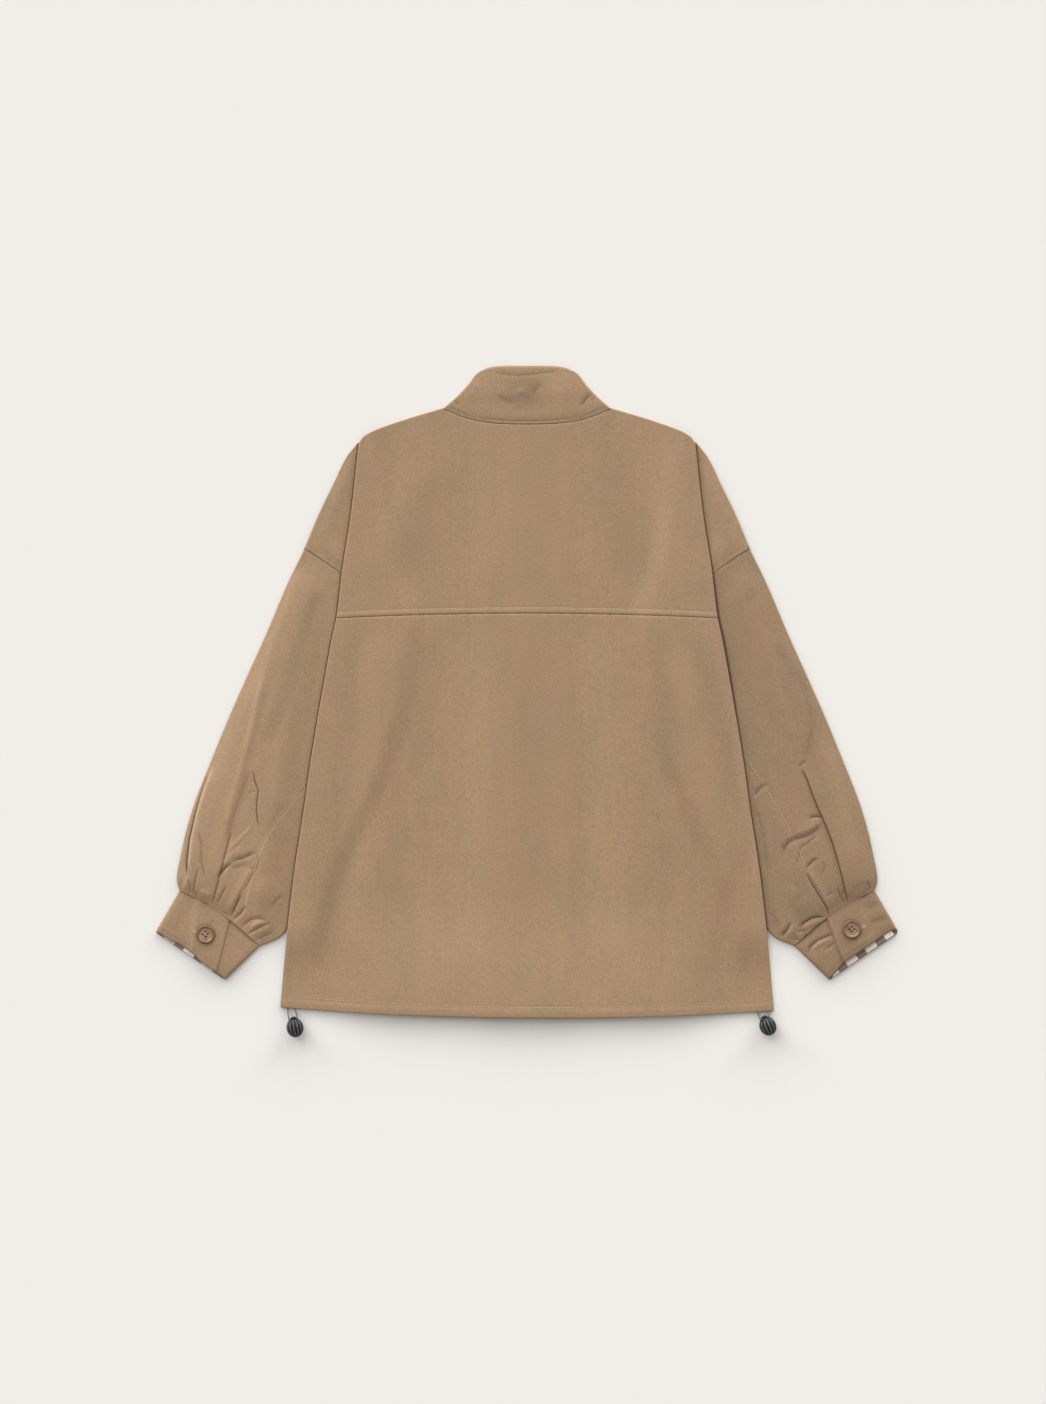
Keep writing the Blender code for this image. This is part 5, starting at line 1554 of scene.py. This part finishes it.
def makeHorn(name, turn):  # polished horn with soft darker clouds
    material = newMaterial(name)
    place = onPiece(material, turn)
    cloud = spreadOut(material, noise(material, place, horn["cloud"], 3.0, 0.6), *horn["clouded"])
    grain = noise(material, place, horn["grain"])
    up = node(material, "ShaderNodeSeparateXYZ", None, Vector=place).outputs["Z"]
    rim = spreadOut(material, up, *((button["bottom"] + rim) * mm for rim in horn["rim"]), (0.0, horn["rimDark"]))
    colour = blend(material, cloud, tone("hornLight"), tone("horn"))
    colour = blend(material, rim, colour, tone("hornRim"))
    colour = blend(material, 1.0, colour, spreadOut(material, grain, *middling, horn["grainLight"]), "MULTIPLY")
    return finishSurface(material, colour, horn["rough"], horn["specular"], grain, horn["bump"])


moulded = {
    "rubbedAndHighlit": (260, 260, 260), "fine": (1500, 1500, 1500), "patches": (0.3, 0.6, (0.45, 1.0)),
    "rough": (0.35, 0.65, (0.24, 0.38)), "specular": 0.3, "bump": 0.12,
}


def makeMoulded(name):  # black moulded plastic, lighter on its crests in patches: wear and painted highlight together
    material = newMaterial(name)
    place = onPiece(material)
    rubbedAndHighlit = noise(material, place, moulded["rubbedAndHighlit"], 3.0, 0.6)
    # rib crests painted lighter in patches: wear and painted highlight together
    worn = count(material, "MULTIPLY", ownNumber(material, "crest"), spreadOut(material, rubbedAndHighlit, *moulded["patches"]))
    colour = blend(material, worn, tone("black"), tone("rubbedAndHighlit"))
    rough = spreadOut(material, rubbedAndHighlit, *moulded["rough"])
    fine = noise(material, place, moulded["fine"])
    return finishSurface(material, colour, rough, moulded["specular"], fine, moulded["bump"])


braided = {"scale": (900, 500, 900), "range": (0.38, 0.62), "rough": 0.75, "specular": 0.5, "bump": 0.6, "deep": 0.2}


def makeElastic(name):  # fine braided cord
    material = newMaterial(name)
    braid = noise(material, onPiece(material), braided["scale"], 1.0)
    colour = blend(material, spreadOut(material, braid, *braided["range"]), tone("elastic"), tone("elasticLight"))
    return finishSurface(
        material, colour, braided["rough"], braided["specular"], braid, braided["bump"], braided["deep"])


# the last number paints shade per piece: the right sleeve and cuff darker as if lit less, the others near 1
finishes = {
    "body": makeCloth("shellClothBody"),
    "collar": makeCloth("shellClothCollar", 2.0, 0.99),
    "sleeveLeft": makeCloth("shellClothSleeveLeft", 22.0, 1.01),
    "sleeveRight": makeCloth("shellClothSleeveRight", -22.0, 0.85),
    "cuffLeft": makeCloth("shellClothCuffLeft", -57.0, 0.96),
    "cuffRight": makeCloth("shellClothCuffRight", 57.0, 0.81),
    "cuffLiningLeft": makeCheck("checkCottonLeft", 34.2, (-6.8, -12.9)),
    "cuffLiningRight": makeCheck("checkCottonRight", -33.5, (-8.3, -14.6)),
    "thread": makeThread("sewingThread", "thread"),
    "threadDark": makeThread("buttonThread", "threadDark"),
    "hornLeft": makeHorn("buttonHornLeft", 20.0),
    "hornRight": makeHorn("buttonHornRight", -70.0),
    "moulded": makeMoulded("mouldedBlack"),
    "elastic": makeElastic("elasticCord"),
}


def dress(piece, finish):
    piece.data.materials.clear()
    piece.data.materials.append(finishes[finish])


for name, piece in clothPieces.items():
    kind = next((kind for kind in ("sleeve", "cuffLining", "cuff", "collar") if name.startswith(kind)), "body")
    flank = "Left" if name.endswith("Left") else "Right"
    dress(piece, kind if kind in finishes else kind + flank)
for name, piece in stitchPieces.items():
    dress(piece, "threadDark" if name.startswith("buttonThread") else "thread")
for flank in flanks:
    dress(hemCords[flank][0], "elastic")
    dress(hardPieces[f"button{flank}"], f"horn{flank}")
    dress(hardPieces[f"cordLock{flank}"], "moulded")
    dress(hardPieces[f"plunger{flank}"], "moulded")
print("materials set")


# Floor and light

studio = {  # light on the open floor, the even sky's share of it
    "floorLight": 1.097, "sky": 0.42, "floorHalf": 4, "floorRough": 0.9, "floorSpecular": 0.1,
}
world = bpy.data.worlds.new("studio")
bpy.context.scene.world = world
world.use_nodes = True
world.node_tree.nodes["Background"].inputs["Color"].default_value = (1, 1, 1, 1)
world.node_tree.nodes["Background"].inputs["Strength"].default_value = studio["floorLight"] * studio["sky"]

mesh = bmesh.new()
bmesh.ops.create_grid(mesh, x_segments=1, y_segments=1, size=studio["floorHalf"])
floor = addMesh("floor", mesh, rounded=False)
paper = newMaterial("floorPaper")
paper.node_tree.nodes["Principled BSDF"].inputs["Base Color"].default_value = tone("floor")
paper.node_tree.nodes["Principled BSDF"].inputs["Roughness"].default_value = studio["floorRough"]
paper.node_tree.nodes["Principled BSDF"].inputs["Specular IOR Level"].default_value = studio["floorSpecular"]
floor.data.materials.append(paper)

lamps = {  # compass directions from +Y towards -X, height above the floor, width of the source, share of the light
    "low": {"turns": (-42, -23, -4, 15, 34, 53), "up": 10.0, "spread": 15.0, "share": 0.17},
    "middle": {"turns": (-32, 4, 40), "up": 21.0, "spread": 24.0, "share": 0.22},
    "key": {"turns": (40,), "up": 46.0, "spread": 40.0, "share": 0.19},
}
for name, lamp in lamps.items():
    up = math.radians(lamp["up"])
    for turn in map(math.radians, lamp["turns"]):
        light = bpy.data.lights.new(name, "SUN")
        light.angle = math.radians(lamp["spread"])
        light.energy = lamp["share"] / len(lamp["turns"]) * studio["floorLight"] * math.pi / math.sin(up)
        source = Vector((-math.sin(turn) * math.cos(up), math.cos(turn) * math.cos(up), math.sin(up)))
        addObject(name, light).rotation_euler = (-source).to_track_quat("-Z", "Y").to_euler()
bpy.context.scene.view_settings.view_transform = "Standard"
print("floor and lights set")


# What each piece stands for

def declare(piece, standsFor=None):
    if standsFor:
        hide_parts(standsFor)
    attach(piece, "root")


clothFor = {
    "backYokeCloth": "back_yoke", "backPanelCloth": "back_panel",
    "frontLeftCloth": "front_left", "frontRightCloth": "front_right", "collarCloth": "collar",
    "sleeveTopLeft": "sleeve_top_left", "sleeveTopRight": "sleeve_top_right",
    "sleeveUnderLeft": "sleeve_under_left", "sleeveUnderRight": "sleeve_under_right",
    "cuffClothLeft": "cuff_left", "cuffClothRight": "cuff_right",
    "cuffLiningLeft": "cuff_lining_left", "cuffLiningRight": "cuff_lining_right",
}
for name, standsFor in clothFor.items():
    declare(clothPieces[name], standsFor)
for piece in stitchPieces.values():
    declare(piece)
for flank in flanks:
    low = flank.lower()
    cordPiece, length = hemCords[flank]
    onCord = [hardPieces[f"cordLock{flank}"], hardPieces[f"plunger{flank}"]]
    declare(hardPieces[f"button{flank}"], f"button_{low}")
    declare(onCord[0], f"cord_lock_{low}")
    declare(onCord[1], f"cord_lock_plunger_{low}")
    declare(cordPiece, f"hem_cord_{low}")

bpy.context.view_layer.update()
